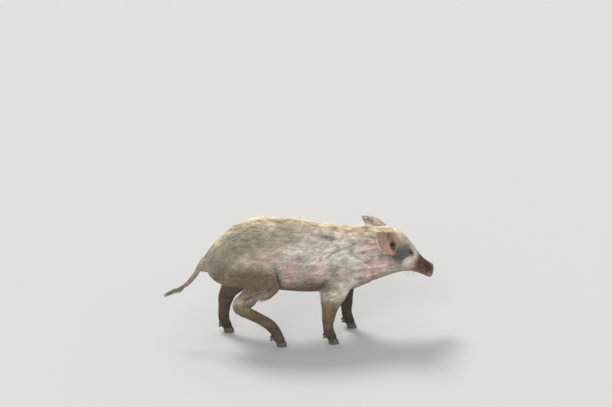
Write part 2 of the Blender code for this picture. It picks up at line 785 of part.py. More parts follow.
def tube(name, points, radius, count=8, closed=False):
    """A tube along a path, closed on itself or capped."""
    rings = []
    total = len(points)
    for i, point in enumerate(points):
        ahead = points[(i + 1) % total] if closed else points[min(i + 1, total - 1)]
        behind = points[i - 1] if closed else points[max(i - 1, 0)]
        along = (ahead - behind).normalized()
        first = along.cross(Vector((0.31, 0.22, 0.92))).normalized()
        second = along.cross(first)
        ring = []
        for k in range(count):
            angle = math.tau * k / count
            ring.append(point + (first * math.cos(angle) + second * math.sin(angle)) * radius)
        rings.append(ring)
    if not closed:
        return loft(name, rings)
    bm = bmesh.new()
    rows = [[bm.verts.new(point) for point in ring] for ring in rings]
    for i in range(total):
        low, high = rows[i], rows[(i + 1) % total]
        for k in range(count):
            j = (k + 1) % count
            bm.faces.new((low[k], low[j], high[j], high[k]))
    bmesh.ops.recalc_face_normals(bm, faces=bm.faces)
    return add_object(name, bm)


def add_eye(head, tree, side, word, material):
    """An eyeball in its socket between two lids."""
    point, normal = surface_point(tree, *EYE_AT, side)
    centre = point - normal * (EYE_RADIUS * EYE_SINK)
    out = normal
    slit = Vector((math.cos(EYE_SLANT), 0.0, math.sin(EYE_SLANT)))
    slit = (slit - out * slit.dot(out)).normalized()
    rise = out.cross(slit)
    rise = rise if rise.z > 0 else -rise
    path = []
    for i in range(LID_POINTS):
        angle = math.tau * i / LID_POINTS
        across = slit * LID_HALF[0] * math.cos(angle) + rise * LID_HALF[1] * math.sin(angle)
        reach = EYE_RADIUS + LID_THICK * 0.35
        depth = math.sqrt(max(reach ** 2 - across.length_squared, 0.00001))
        path.append(centre + across + out * depth)
    boolean(head, [tube("lids", path, LID_THICK, 8, True)], "UNION")
    boolean(head, [ball("socket", centre, (EYE_RADIUS + GAP * 2,) * 3, 0.0, 16)], "DIFFERENCE")
    eye = ball("eye_" + word, centre, (EYE_RADIUS,) * 3, 0.0, 14)
    eye.data.materials.append(material)
    return eye


def cut_mouth(head, tree):
    """A groove along the lips, from one corner round under the muzzle to the other."""
    halves = {}
    for side in (-1, 1):
        points = [surface_point(tree, x, z, side)[0] for x, z in MOUTH_LINE]
        halves[side] = points
    under = []
    for y in CHIN_PLACES:
        hit = tree.ray_cast(Vector((MOUTH_FRONT, y, 0.1)), Vector((0.0, 0.0, 1.0)))[0]
        under.append(hit)
    path = list(reversed(halves[-1])) + under + halves[1]
    boolean(head, [tube("groove", path, GROOVE_RADIUS, 6)], "DIFFERENCE")


def ear_section(front, rear, along, side, share):
    """One section of an ear: the hollow face and the back face, from the rear edge to the front."""
    middle = (front + rear) / 2
    half = (front - rear).length / 2
    across = (front - rear).normalized()
    out = across.cross(along).normalized()
    out = out if out.y * side > 0 else -out
    closed, wide = EAR_OPENS
    opened = min(max((share - closed) / (wide - closed), 0.0), 1.0)
    swell = max(share, 0.0)
    back = half * (EAR_CUP[0] + (EAR_CUP[1] - EAR_CUP[0]) * swell)
    thick = EAR_THICK[0] + (EAR_THICK[1] - EAR_THICK[0]) * swell
    fill = half * EAR_FILL
    hollow = fill + (thick - back - fill) * opened
    hollow_face, back_face = [], []
    for j in range(EAR_COLUMNS):
        place = math.sin(math.pi / 2 * (2.0 * j / (EAR_COLUMNS - 1) - 1.0))
        bow = math.sqrt(max(1.0 - place * place, 0.0))
        point = middle + across * half * place
        hollow_face.append(point + out * hollow * bow)
        back_face.append(point - out * (back * bow + thick * 0.6))
    return hollow_face, back_face


def ear_edges(word, side):
    """The two edges of an ear from inside the head to its tip."""
    front_edge, rear_edge, tip = EAR_EDGES[word]
    flip = np.array((1.0, side, 1.0))
    edges = []
    for edge in (front_edge, rear_edge):
        rows = np.array(edge) * flip
        buried = rows[0] + (rows[0] - rows[1]) * EAR_BURIED
        points = smooth_between(np.vstack([buried, rows, np.array(tip) * flip]), 2)
        edges.append([Vector(point) for point in points])
    for edge in edges:
        edge[-1] = edge[-1].lerp(edge[-2], EAR_TIP)
    return edges


def ear_shell(fronts, rears, side):
    """The closed leaf between an ear's two edges."""
    total = len(fronts) - 1
    bm = bmesh.new()
    near, far = [], []
    for i in range(total + 1):
        low, high = max(i - 1, 0), min(i + 1, total)
        along = (fronts[high] + rears[high] - fronts[low] - rears[low]).normalized()
        hollow, back = ear_section(fronts[i], rears[i], along, side, (i - 2) / (total - 2))
        near.append([bm.verts.new(point) for point in hollow])
        far.append([bm.verts.new(point) for point in back])
    for i in range(total):
        for j in range(EAR_COLUMNS - 1):
            bm.faces.new((near[i][j], near[i][j + 1], near[i + 1][j + 1]))
            bm.faces.new((near[i][j], near[i + 1][j + 1], near[i + 1][j]))
            bm.faces.new((far[i][j], far[i + 1][j + 1], far[i][j + 1]))
            bm.faces.new((far[i][j], far[i + 1][j], far[i + 1][j + 1]))
        for j, order in ((0, 1), (EAR_COLUMNS - 1, -1)):
            bm.faces.new((near[i][j], near[i + 1][j], far[i + 1][j], far[i][j])[::order])
    for i, order in ((0, -1), (total, 1)):
        for j in range(EAR_COLUMNS - 1):
            bm.faces.new((near[i][j], near[i][j + 1], far[i][j + 1], far[i][j])[::order])
    bmesh.ops.recalc_face_normals(bm, faces=bm.faces)
    return bm


def make_ear(head, neck, word, side, material):
    """A cupped, pointed ear: a curled leaf whose hollow side looks forward and outward."""
    fronts, rears = ear_edges(word, side)
    ear = add_object("ear_" + word, ear_shell(fronts, rears, side))
    ear.data.materials.append(material)
    ear = trim_to(trim_to(ear, head), neck)
    (x, y, z), radii = EAR_HOLE
    hole = ball("ear_hole", (x, y * side, z), radii)
    boolean(ear, [copy_of(hole, "ear_hole_twin")], "DIFFERENCE")
    boolean(head, [hole], "DIFFERENCE")
    return ear


def lock(root, along, normal, length, width, thick, bend):
    """A flat tapered lock that leaves its root and bends over."""
    side = along.cross(normal).normalized()
    rings = []
    for share, scale in LOCK_RINGS:
        centre = root + along * length * share + bend * share * share
        heading = (along * length + bend * 2 * share).normalized()
        up = side.cross(heading).normalized()
        half_width, half_thick = width * scale / 2, thick * scale / 2
        rings.append([centre + side * half_width, centre + up * half_thick,
                      centre - side * half_width, centre - up * half_thick])
    bm = bmesh.new()
    rows = [[bm.verts.new(point) for point in ring] for ring in rings]
    tip = bm.verts.new(root + along * length + bend)
    for low, high in zip(rows, rows[1:]):
        for k in range(4):
            bm.faces.new((low[k], low[(k + 1) % 4], high[(k + 1) % 4], high[k]))
    for k in range(4):
        bm.faces.new((rows[-1][k], rows[-1][(k + 1) % 4], tip))
    bm.faces.new(rows[0])
    bmesh.ops.recalc_face_normals(bm, faces=bm.faces)
    return add_object("lock", bm)


def add_crest(nodes):
    """The ridge of bristles along the back, as locks that lie backward and overlap."""
    draw = random.Random(SEED)
    for name, start, end in CREST_RUNS:
        tree = tree_of(nodes[name])
        locks = []
        x, flip = start, 1
        while x > end:
            y = flip * CREST_OFFSET * draw.uniform(0.3, 1.0)
            point, normal, _, _ = tree.ray_cast(Vector((x, y, 0.8)), Vector((0.0, 0.0, -1.0)))
            length = CREST_LENGTH * draw.uniform(0.85, 1.1)
            back = Vector((-1.0, CREST_SPLAY * flip, 0.0))
            back = (back - normal * back.dot(normal)).normalized()
            along = (back + normal * CREST_RISE).normalized()
            root = point - along * CREST_SUNK[0] - normal * CREST_SUNK[1]
            bend = -normal * length * CREST_DROOP
            locks.append(lock(root, along, normal, length, CREST_WIDTH, CREST_THICK, bend))
            x -= CREST_STEP * draw.uniform(0.9, 1.1)
            flip = -flip
        boolean(nodes[name], locks, "UNION")


def tree_of(obj):
    """A search tree of an object's surface."""
    bm = bmesh.new()
    bm.from_mesh(obj.data)
    tree = BVHTree.FromBMesh(bm)
    bm.free()
    return tree


def switch_core(path, headings):
    """The thin core that the switch's locks leave from."""
    last = len(path) - 1
    rings = []
    for i, (point, along) in enumerate(zip(path, headings)):
        wide = SWITCH_RADIUS * (1.0 - SWITCH_TAPER * i / last) + SWITCH_LEAST
        up = Vector((-along.z, 0.0, along.x))
        ring = []
        for k in range(SWITCH_POINTS):
            angle = math.tau * k / SWITCH_POINTS
            across = Vector((0.0, wide * math.cos(angle), 0.0))
            ring.append(point + along * GAP / 2 + up * wide * math.sin(angle) + across)
        rings.append(ring)
    return loft("tail_switch", rings)


def make_switch(material):
    """The hair at the tail's end: a thin core and overlapping locks that trail from it."""
    path = [Vector((row[0], 0.0, row[1])) for row in smooth_between(SWITCH_PATH, 2)]
    last = len(path) - 1
    headings = []
    for i in range(last + 1):
        headings.append((path[min(i + 1, last)] - path[max(i - 1, 0)]).normalized())
    switch = switch_core(path, headings)
    switch.data.materials.append(material)
    draw = random.Random(SEED + 1)
    first, final = SWITCH_SHARES
    locks = []
    for i in range(SWITCH_LOCKS):
        share = first + (final - first) * i / (SWITCH_LOCKS - 1)
        place = int(share * last)
        along = headings[place]
        up = Vector((-along.z, 0.0, along.x))
        angle = SWITCH_TURN * i
        normal = (up * math.sin(angle) + Vector((0.0, 1.0, 0.0)) * math.cos(angle)).normalized()
        length = SWITCH_LOCK_LENGTH * draw.uniform(0.85, 1.1) * (1.0 - 0.25 * share)
        heading = (along + normal * SWITCH_FLARE).normalized()
        end = path[min(place + 3, last)] - path[place]
        bend = (end.normalized() - along) * length * 0.45 - normal * length * 0.16
        root = path[place] + along * 0.004
        locks.append(lock(root, heading, normal, length, SWITCH_LOCK_WIDTH, SWITCH_LOCK_THICK, bend))
    return boolean(switch, locks, "UNION")


def turn_head(point):
    """Bend the neck so that the head faces a little to the pig's left."""
    share = min(max((point.x - TURN_FROM) / TURN_OVER, 0.0), 1.0)
    angle = HEAD_TURN * share * share * (3 - 2 * share)
    ahead = point.x - TURN_FROM
    if ahead <= 0.0:
        return point
    return Vector((TURN_FROM + ahead * math.cos(angle) - point.y * math.sin(angle),
                   ahead * math.sin(angle) + point.y * math.cos(angle), point.z))


def pose_and_centre():
    """Turn the head, then bring the origin under the middle of the box."""
    meshes = [obj.data for obj in bpy.context.collection.objects]
    corners = []
    for mesh in meshes:
        for vert in mesh.vertices:
            vert.co = turn_head(vert.co)
            corners.append(vert.co.copy())
    lows = [min(corner[axis] for corner in corners) for axis in range(3)]
    highs = [max(corner[axis] for corner in corners) for axis in range(3)]
    middle = Vector(((lows[0] + highs[0]) / 2, (lows[1] + highs[1]) / 2, lows[2]))
    for mesh in meshes:
        mesh.transform(Matrix.Translation(-middle))
        mesh.update()


def finish_head(head, neck, skin):
    """Give the head its disc, mouth, eyes and ears."""
    make_disc(make_material("disc_skin", DISC))
    tree = tree_of(head)
    cut_mouth(head, tree)
    wet = make_material("eye_surface", EYE)
    for word, side in (("right", -1), ("left", 1)):
        add_eye(head, tree, side, word, wet)
        make_ear(head, neck, word, side, skin)


def main():
    """Build the pig."""
    clear_objects()
    skin = make_material("skin", SKIN)
    mud = make_material("muddy_skin", MUD)
    horn = make_material("horn", HORN)
    body = fuse_body()
    shape_body(body)
    thin_out(body)
    nodes = part_legs(body)
    rest, head = split(body, ("rest", "head"), *plane_of(HEAD_CUT))
    head, scrap = split(head, ("head", "scrap"), *plane_of(MUZZLE_CUT))
    drop(scrap)
    rest, neck = split(rest, ("rest", "neck"), *plane_of(NECK_CUT))
    torso, tail = split(rest, ("torso", "tail"), *plane_of(TAIL_CUT))
    tail, scrap = split(tail, ("tail", "scrap"), *plane_of(TAIL_END))
    drop(scrap)
    nodes.update({"head": head, "neck": neck, "torso": torso, "tail": tail})
    for name, obj in nodes.items():
        obj.name = name
        obj.data.materials.clear()
        obj.data.materials.append(mud if "foot" in name or "shank" in name else skin)
    add_claws(horn)
    add_dewclaws(nodes, horn)
    finish_head(head, neck, skin)
    add_crest(nodes)
    make_switch(make_material("bristle", BRISTLE))
    pose_and_centre()


main()
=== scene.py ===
"""The looks of a young domestic pig, life size, wading forward with its head lowered.

One skin is grown over the solids of flesh and drawn in by the depth of the coat. Short bristles,
each a thin closed spike, are rooted in it and lie along the body. Skin and bristles take their
colour from the same function of place, marking_at. Lengths are in metres.
"""

import itertools
import json
import math
from types import SimpleNamespace

import bmesh
import bpy
import numpy as np
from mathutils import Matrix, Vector
from mathutils.bvhtree import BVHTree

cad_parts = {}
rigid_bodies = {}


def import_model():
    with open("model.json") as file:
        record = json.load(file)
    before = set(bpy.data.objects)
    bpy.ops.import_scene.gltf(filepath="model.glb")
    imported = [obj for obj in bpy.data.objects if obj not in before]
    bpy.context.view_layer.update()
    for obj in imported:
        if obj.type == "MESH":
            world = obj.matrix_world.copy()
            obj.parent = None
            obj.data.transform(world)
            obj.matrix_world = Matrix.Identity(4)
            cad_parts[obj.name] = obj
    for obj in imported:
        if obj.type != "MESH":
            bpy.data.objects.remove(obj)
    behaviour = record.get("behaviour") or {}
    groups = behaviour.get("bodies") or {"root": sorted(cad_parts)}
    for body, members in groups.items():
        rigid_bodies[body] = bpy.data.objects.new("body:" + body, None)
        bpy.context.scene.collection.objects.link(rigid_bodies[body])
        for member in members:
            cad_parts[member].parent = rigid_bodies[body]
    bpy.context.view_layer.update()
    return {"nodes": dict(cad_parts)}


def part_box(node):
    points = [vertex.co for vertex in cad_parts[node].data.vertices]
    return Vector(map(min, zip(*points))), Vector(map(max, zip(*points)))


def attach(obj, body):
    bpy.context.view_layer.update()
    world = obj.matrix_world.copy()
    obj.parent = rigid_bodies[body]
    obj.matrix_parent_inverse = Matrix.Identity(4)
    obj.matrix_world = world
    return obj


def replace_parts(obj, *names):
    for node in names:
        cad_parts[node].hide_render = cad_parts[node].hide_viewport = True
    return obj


for startup_object in list(bpy.data.objects):
    bpy.data.objects.remove(startup_object)
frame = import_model()
NODES = frame["nodes"]
UP = Vector((0.0, 0.0, 1.0))
LEFTWARD = (0.0, 1.0, 0.0)
SIDES = (-1, 1)

# Growing the skin
OVERLAP = 0.0006
BODY_VOXEL = 0.0040
HEAD_VOXEL = 0.0021
DISC_VOXEL = 0.0009
CLAW_VOXEL = 0.0014
SEAM_DIVE = 0.085
KIND_ROUNDS = 40
RIDGE_ROUNDS = 60
EYE_BED_ROUNDS = 150
EAR_BASE_ROUNDS = 45
EAR_BASE_WAY = (0.86, 0.0, -0.51)
EAR_FACING = (0.55, 0.80, 0.10)
EAR_CURL = 0.0045
EYE_BED_DEPTH = 0.010
CREASE_DEPTH = 0.0058
CREASE_LIP = 0.0016
MOUTH_DEPTH = 0.0016
LIP_HEIGHT = 0.0009

# Spacing of ripples: round the eye (as a share of the lids' size), in the ear, over the snout, on
# the disc and on the claws
EYE_FOLDS = 0.72
EAR_RIDGES = 0.0125
SNOUT_WRINKLES = 0.0105
DISC_RINGS = 0.0042
HORN_RINGS = 0.0042

# For each kind of flesh: how deep the skin lies, the bristles' length and width, bristles to a
# square centimetre, their rise from the skin, and the way they lie (ahead, outward, up)
COAT = {
    "torso": (0.0030, 0.0240, 0.0013, 9.5, 0.16, -1.0, 0.0, -0.16),
    "neck": (0.0028, 0.0210, 0.0012, 11.0, 0.18, -1.0, 0.0, -0.18),
    "head": (0.0014, 0.0110, 0.0009, 46.0, 0.18, -1.0, 0.0, 0.25),
    "ear": (-0.0006, 0.0085, 0.0007, 34.0, 0.20, -0.75, 0.35, 0.60),
    "tail": (0.0010, 0.0140, 0.0010, 16.0, 0.18, -0.60, 0.0, -0.80),
    "thigh": (0.0026, 0.0190, 0.0012, 11.0, 0.18, -0.62, 0.0, -0.78),
    "shank": (0.0016, 0.0130, 0.0011, 17.0, 0.20, -0.30, 0.0, -0.95),
    "hind_foot": (0.0006, 0.0100, 0.0009, 23.0, 0.22, 0.25, 0.0, -0.97),
    "forearm": (0.0018, 0.0130, 0.0011, 16.0, 0.20, -0.20, 0.0, -0.98),
    "fore_foot": (0.0006, 0.0100, 0.0009, 23.0, 0.22, 0.0, 0.0, -1.0),
}
KINDS = sorted(COAT)

# Bristles and single hairs
SEED = 11
LONGEST_PIECE = 19500
COAT_FLATNESS = 0.42
HAIR_FLATNESS = 0.8
LOCK_SIZE = 0.0075
LOCK_PULL = 0.34
LOCK_LIMIT = 0.002
ROOT_DEPTH = 0.0012
TIP_LIFT = 0.0006
PATCH_ASIDE = 0.0012
PATCH_LENGTH = 0.003
LASHES = 60
LASH_WIDTH = 0.00028
CHIN_HAIRS = 46
LIP_HAIRS = 80
WHISKER_WIDTH = 0.00030
EAR_HAIRS = 190
EAR_HAIR_WIDTH = 0.00032
SWITCH_HAIRS = 1900
SWITCH_WIDTH = 0.0006
SWITCH_FLATNESS = 0.7
SWITCH_REACH = 0.0045
SWITCH_SAG = 0.006
SWITCH_STATIONS = 9

# Eyes: the slit's slant, half sizes of the opening and of the lids, and rings from the lid's edge
# outward, each with its half length, its height above and below, its reach over the eyeball, its
# height over the skin, and darkness
EYE_SLANT = math.radians(-26)
EYE_OPENING = (0.0140, 0.0095)
EYE_LIDS = (0.0150, 0.0105)
EYE_INSET = 0.0002
CORNEA_RISE = 0.035
EYE_RINGS = 28
EYE_SPOKES = 40
LID_SPOKES = 32
LID_THICKNESS = 0.0006
LID_RINGS = (
    (0.0092, 0.0037, 0.0029, -0.0002, None, 1.00),
    (0.0101, 0.0045, 0.0036, 0.0003, None, 1.00),
    (0.0107, 0.0052, 0.0043, 0.0016, None, 0.95),
    (0.0120, 0.0067, 0.0055, 0.0022, 0.0014, 0.65),
    (0.0135, 0.0084, 0.0069, 0.0009, 0.0006, 0.75),
    (0.0150, 0.0100, 0.0084, 0.0008, 0.0003, 0.40),
    (0.0166, 0.0118, 0.0100, 0.0002, -0.0002, 0.10),
    (0.0186, 0.0136, 0.0116, 0.0000, -0.0012, 0.0),
)

# Colours of the animal, and of painted shade in creases, holes and the mouth, as the share of light that
# each surface sends back
PALE = (0.60, 0.540, 0.450)
WHITE = (0.84, 0.810, 0.735)
CREAM = (0.86, 0.755, 0.555)
PINK = (0.70, 0.465, 0.435)
FLESH_PINK = (0.82, 0.640, 0.610)
OLIVE = (0.325, 0.300, 0.215)
# Earth, used also for painted shade under the body
EARTH_AND_SHADE = (0.215, 0.158, 0.092)
KHAKI = (0.172, 0.122, 0.034)
# Wet mud, used also for painted shade under the body and on the far side's legs
WET_MUD_AND_SHADE = (0.058, 0.045, 0.025)
GREY = (0.115, 0.117, 0.112)
RUST = (0.068, 0.022, 0.005)
RED_SKIN = (0.42, 0.15, 0.14)
DARK_SKIN = (0.060, 0.046, 0.050)
MOUTH_SHADE = (0.090, 0.055, 0.042)
LID_SKIN = (0.060, 0.044, 0.038)
EYE_SHADE = (0.14, 0.115, 0.095)
CREASE_SHADE = (0.10, 0.075, 0.048)
EAR_HOLE_SHADE = (0.055, 0.018, 0.014)
EAR_FLUSH = (0.62, 0.375, 0.31)
EAR_BROWN = (0.47, 0.335, 0.260)
EAR_TROUGH_SHADE = (0.17, 0.070, 0.050)
NOSTRIL_SHADE = (0.012, 0.006, 0.006)
DISC_PINK = (0.46, 0.215, 0.225)
LASH_COLOUR = (0.50, 0.42, 0.31)
SWITCH_HAIR = (0.30, 0.26, 0.17)
TIP_TINT = (1.10, 1.09, 1.08)
SKIN_FLUSH = (1.04, 0.96, 0.95)
STREAKS = 1.5

# Soft patches of the coat: middle (x, z), half sizes (x, z), colour and strength, then 1 or -1
# where only the left or the right side carries it
PATCHES = (
    (-0.245, 0.500, 0.120, 0.075, OLIVE, 0.80),
    (-0.330, 0.400, 0.080, 0.090, OLIVE, 0.75),
    (-0.215, 0.415, 0.060, 0.045, PALE, 0.50),
    (-0.225, 0.305, 0.120, 0.075, EARTH_AND_SHADE, 0.95),
    (-0.215, 0.312, 0.085, 0.055, EARTH_AND_SHADE, 0.60),
    (-0.060, 0.500, 0.085, 0.035, OLIVE, 0.55),
    (-0.120, 0.300, 0.028, 0.075, EARTH_AND_SHADE, 0.70),
    (0.040, 0.420, 0.120, 0.070, WHITE, 0.70),
    (-0.020, 0.345, 0.060, 0.065, PALE, 0.70),
    (-0.040, 0.335, 0.040, 0.070, PINK, 0.60),
    (-0.145, 0.430, 0.050, 0.040, PINK, 0.35),
    (0.075, 0.365, 0.055, 0.055, PINK, 0.40),
    (0.160, 0.430, 0.100, 0.065, WHITE, 0.95),
    (0.265, 0.400, 0.080, 0.060, WHITE, 0.60),
    (0.200, 0.275, 0.064, 0.062, WHITE, 1.00),
    (0.060, 0.275, 0.080, 0.032, EARTH_AND_SHADE, 0.75),
    (0.165, 0.250, 0.050, 0.032, WHITE, 0.55),
    (0.325, 0.345, 0.065, 0.055, FLESH_PINK, 0.95),
    (0.290, 0.440, 0.055, 0.035, PINK, 0.40),
    (0.400, 0.300, 0.080, 0.028, PALE, 0.60),
    (0.415, 0.392, 0.050, 0.056, GREY, 1.00),
    (0.425, 0.385, 0.034, 0.036, GREY, 0.60),
    (0.350, 0.400, 0.026, 0.050, GREY, 0.50),
    (0.440, 0.440, 0.050, 0.030, OLIVE, 0.60),
    (0.445, 0.403, 0.030, 0.028, GREY, 0.75),
    (0.450, 0.345, 0.040, 0.022, WHITE, 0.90),
    (0.485, 0.372, 0.018, 0.020, WHITE, 0.70),
    (0.535, 0.310, 0.045, 0.055, RUST, 1.00),
    (-0.300, 0.240, 0.050, 0.050, RUST, 0.70, 1),
    (-0.170, 0.140, 0.110, 0.055, WET_MUD_AND_SHADE, 0.75, -1),
    (-0.345, 0.305, 0.045, 0.055, EARTH_AND_SHADE, 0.80),
    (-0.440, 0.330, 0.060, 0.050, OLIVE, 0.80),
    (-0.500, 0.260, 0.060, 0.050, EARTH_AND_SHADE, 0.60),
)
# Creases of the skin, folded in and darkened with painted shade: points (x, any, z) from end to end, and
# strength
CREASES = (
    (((-0.113, 0, 0.400), (-0.100, 0, 0.335), (-0.086, 0, 0.280), (-0.080, 0, 0.240)), 1.00),
    (((0.128, 0, 0.335), (0.095, 0, 0.285), (0.055, 0, 0.245)), 0.80),
    (((-0.165, 0, 0.262), (-0.210, 0, 0.242), (-0.240, 0, 0.232)), 0.70),
)
# Bones and cords that show under the skin: place, reach, and height
SWELLINGS = (
    ((-0.268, -0.085, 0.200), 0.030, 0.0070),
    ((-0.268, -0.085, 0.235), 0.030, -0.0030),
    ((-0.110, -0.105, 0.262), 0.055, 0.0040),
)
# Small spots of bare skin: place (x, distance from the middle, z), reach and strength
BARE_SPOTS = (
    (-0.388, 0.000, 0.318, 0.026, 0.95),
    (0.130, 0.045, 0.235, 0.009, 0.7),
    (0.070, 0.047, 0.229, 0.009, 0.7),
    (0.010, 0.048, 0.226, 0.009, 0.7),
    (-0.050, 0.046, 0.226, 0.009, 0.7),
    (-0.105, 0.042, 0.230, 0.009, 0.7),
)

# Camera and studio: angles in degrees, and for each light its name, where it comes from, its
# strength, its spread in degrees and its colour
CAMERA_PITCH = 20.5
CAMERA_YAW = 5.0
CAMERA_FIELD = 30.0
CAMERA_AWAY = 4.45
CAMERA_ASIDE = 0.026
CAMERA_HEIGHT = 2.28
SENSOR_WIDTH = 36.0
FLOOR_REACH = 300.0
FLOOR_COLOUR = (0.50, 0.495, 0.49, 1.0)
WORLD_COLOUR = (1.0, 0.995, 0.99, 1.0)
WORLD_LIGHT = 0.75
LIGHTS = (
    ("sky", (-0.35, 0.55, 1.0), 2.1, 20.0, (1.0, 0.98, 0.93)),
    ("front", (-0.45, -1.0, 0.75), 0.9, 30.0, (0.97, 0.98, 1.0)),
)

# The head's turn to the pig's left, and how far the model is moved to be centred
TURN_FROM = 0.27
TURN_OVER = 0.14
HEAD_TURN = math.radians(9.0)
CLAW_TIP_X = 0.162
SHIFT_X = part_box("claw_fore_right_outer")[1].x - CLAW_TIP_X
SHIFT_Y = 0.0018


def turned(x, y, z):
    """A place on the straight pig, moved as the head turns and the model is centred."""
    ahead = max(x - TURN_FROM, 0.0)
    share = min(ahead / TURN_OVER, 1.0)
    angle = HEAD_TURN * share * share * (3 - 2 * share)
    if ahead > 0.0:
        x, y = (TURN_FROM + ahead * math.cos(angle) - y * math.sin(angle),
                ahead * math.sin(angle) + y * math.cos(angle))
    return Vector((x + SHIFT_X, y + SHIFT_Y, z))


def middle_of(node):
    """The middle of a node's box."""
    low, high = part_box(node)
    return (low + high) / 2


def kind_of(node):
    """The kind of flesh that a node's name says, or None."""
    kinds = [kind for kind in KINDS if node.startswith(kind) and node != "tail_switch"]
    return max(kinds, key=len, default=None)


# Places on the head
MOUTH_LINE = ((0.563, 0.250), (0.552, 0.259), (0.532, 0.274), (0.510, 0.290), (0.488, 0.303),
              (0.466, 0.313))
EAR_HOLE = (0.377, 0.072, 0.437)
EAR_HOLES = [turned(EAR_HOLE[0], EAR_HOLE[1] * side, EAR_HOLE[2]) for side in SIDES]
EAR_TROUGH_LINE = ((0.383, 0.075, 0.424), (0.379, 0.078, 0.440), (0.371, 0.086, 0.462),
                   (0.356, 0.094, 0.484))
NOSTRIL_APART = 0.0125
NOSTRIL_RAISED = 0.003
DISC_MIDDLE = np.array(middle_of("muzzle_disc"))
EYES = {word: middle_of("eye_" + word) for word in ("right", "left")}
EYE_RADIUS = (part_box("eye_right")[1].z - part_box("eye_right")[0].z) / 2
HEAD_ACROSS = (EYES["left"] - EYES["right"]).normalized()
HEAD_AHEAD = HEAD_ACROSS.cross(UP).normalized()

# The two cuts that part the neck from the trunk and the head: a point and a direction (x, z)
NECK_CUT = ((0.252, 0.370), (1.0, 0.22))
HEAD_CUT = ((0.335, 0.380), (1.0, 0.10))
NECK_MIDDLE = np.mean(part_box("neck"), axis=0)[1:]

FLESH = sorted(name for name in NODES if kind_of(name))
HEAD_NODES = [name for name in FLESH if kind_of(name) in ("head", "ear")]
BODY_NODES = [name for name in FLESH if name not in HEAD_NODES]


def ramp(low, high, value):
    """From 0 at low to 1 at high, with soft ends."""
    share = np.clip((value - low) / (high - low), 0.0, 1.0)
    return share * share * (3.0 - 2.0 * share)


def hashed(cells):
    """A whole number for each cell of a lattice."""
    return cells[:, 0] * 73856093 ^ cells[:, 1] * 19349663 ^ cells[:, 2] * 83492791


def noise(points, size, seed):
    """Smooth noise between 0 and 1 on a lattice of the given size."""
    cell = points / size + 64.0
    base = np.floor(cell).astype(np.int64)
    part = cell - base
    part = part * part * (3.0 - 2.0 * part)
    total = np.zeros(len(points))
    for corner in itertools.product((0, 1), repeat=3):
        mixed = (hashed(base + corner) ^ (seed * 2654435761)) * 1103515245 + 12345
        value = ((mixed >> 9) & 0xFFFF) / 65535.0
        total += value * np.prod(np.where(corner, part, 1.0 - part), axis=1)
    return total


def layered(points, size, seed):
    """Three layers of noise, each about half the size of the last."""
    coarse = noise(points, size, seed)
    middle = noise(points, size / 2.1, seed + 1)
    fine = noise(points, size / 4.3, seed + 2)
    return 0.55 * coarse + 0.29 * middle + 0.16 * fine


def gap_to(places, point):
    """How far each place is from a point."""
    return np.linalg.norm(places - point, axis=1)


def gap_to_line(places, points):
    """How far each place is from a line through the given points."""
    best = np.full(len(places), 1.0)
    for start, end in zip(points, points[1:]):
        along = np.array(end) - start
        share = np.clip((places - start) @ along / max(along @ along, 1e-12), 0.0, 1.0)
        best = np.minimum(best, np.linalg.norm(places - start - share[:, None] * along, axis=1))
    return best


def side_gap(places, points):
    """How far each place is from such a line, as seen from the side."""
    flat = np.array((1.0, 0.0, 1.0))
    return gap_to_line(places * flat, np.array(points) * flat)


def unit(vectors):
    """The same directions with length 1."""
    return vectors / np.maximum(np.linalg.norm(vectors, axis=-1, keepdims=True), 1e-9)


def blended(colours, over, share):
    """Lay a colour over others, by a share for each place."""
    return colours + (over - colours) * share[:, None]


def placed(name, data):
    """A new object in the scene."""
    obj = bpy.data.objects.new(name, data)
    bpy.context.scene.collection.objects.link(obj)
    return obj


def dressed(obj, material):
    """Give a piece its material and its body."""
    obj.data.materials.append(material)
    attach(obj, "root")
    return obj


def keep(mesh, **fields):
    """Keep numbers at the points of a mesh, or colours where each value is a row."""
    for name, values in fields.items():
        values = np.asarray(values, dtype=np.float32)
        if values.ndim == 1:
            mesh.attributes.new(name, "FLOAT", "POINT").data.foreach_set("value", values)
        else:
            full = np.ones((len(values), 4), dtype=np.float32)
            full[:, :3] = values
            mesh.attributes.new(name, "FLOAT_COLOR", "POINT").data.foreach_set("color", full.ravel())


def rows_of(items, key, each, width, dtype=np.int64):
    """Numbers read from the parts of a mesh, in rows of the given width."""
    values = np.empty(len(items) * each, dtype=dtype)
    items.foreach_get(key, values)
    return values.reshape(-1, width)


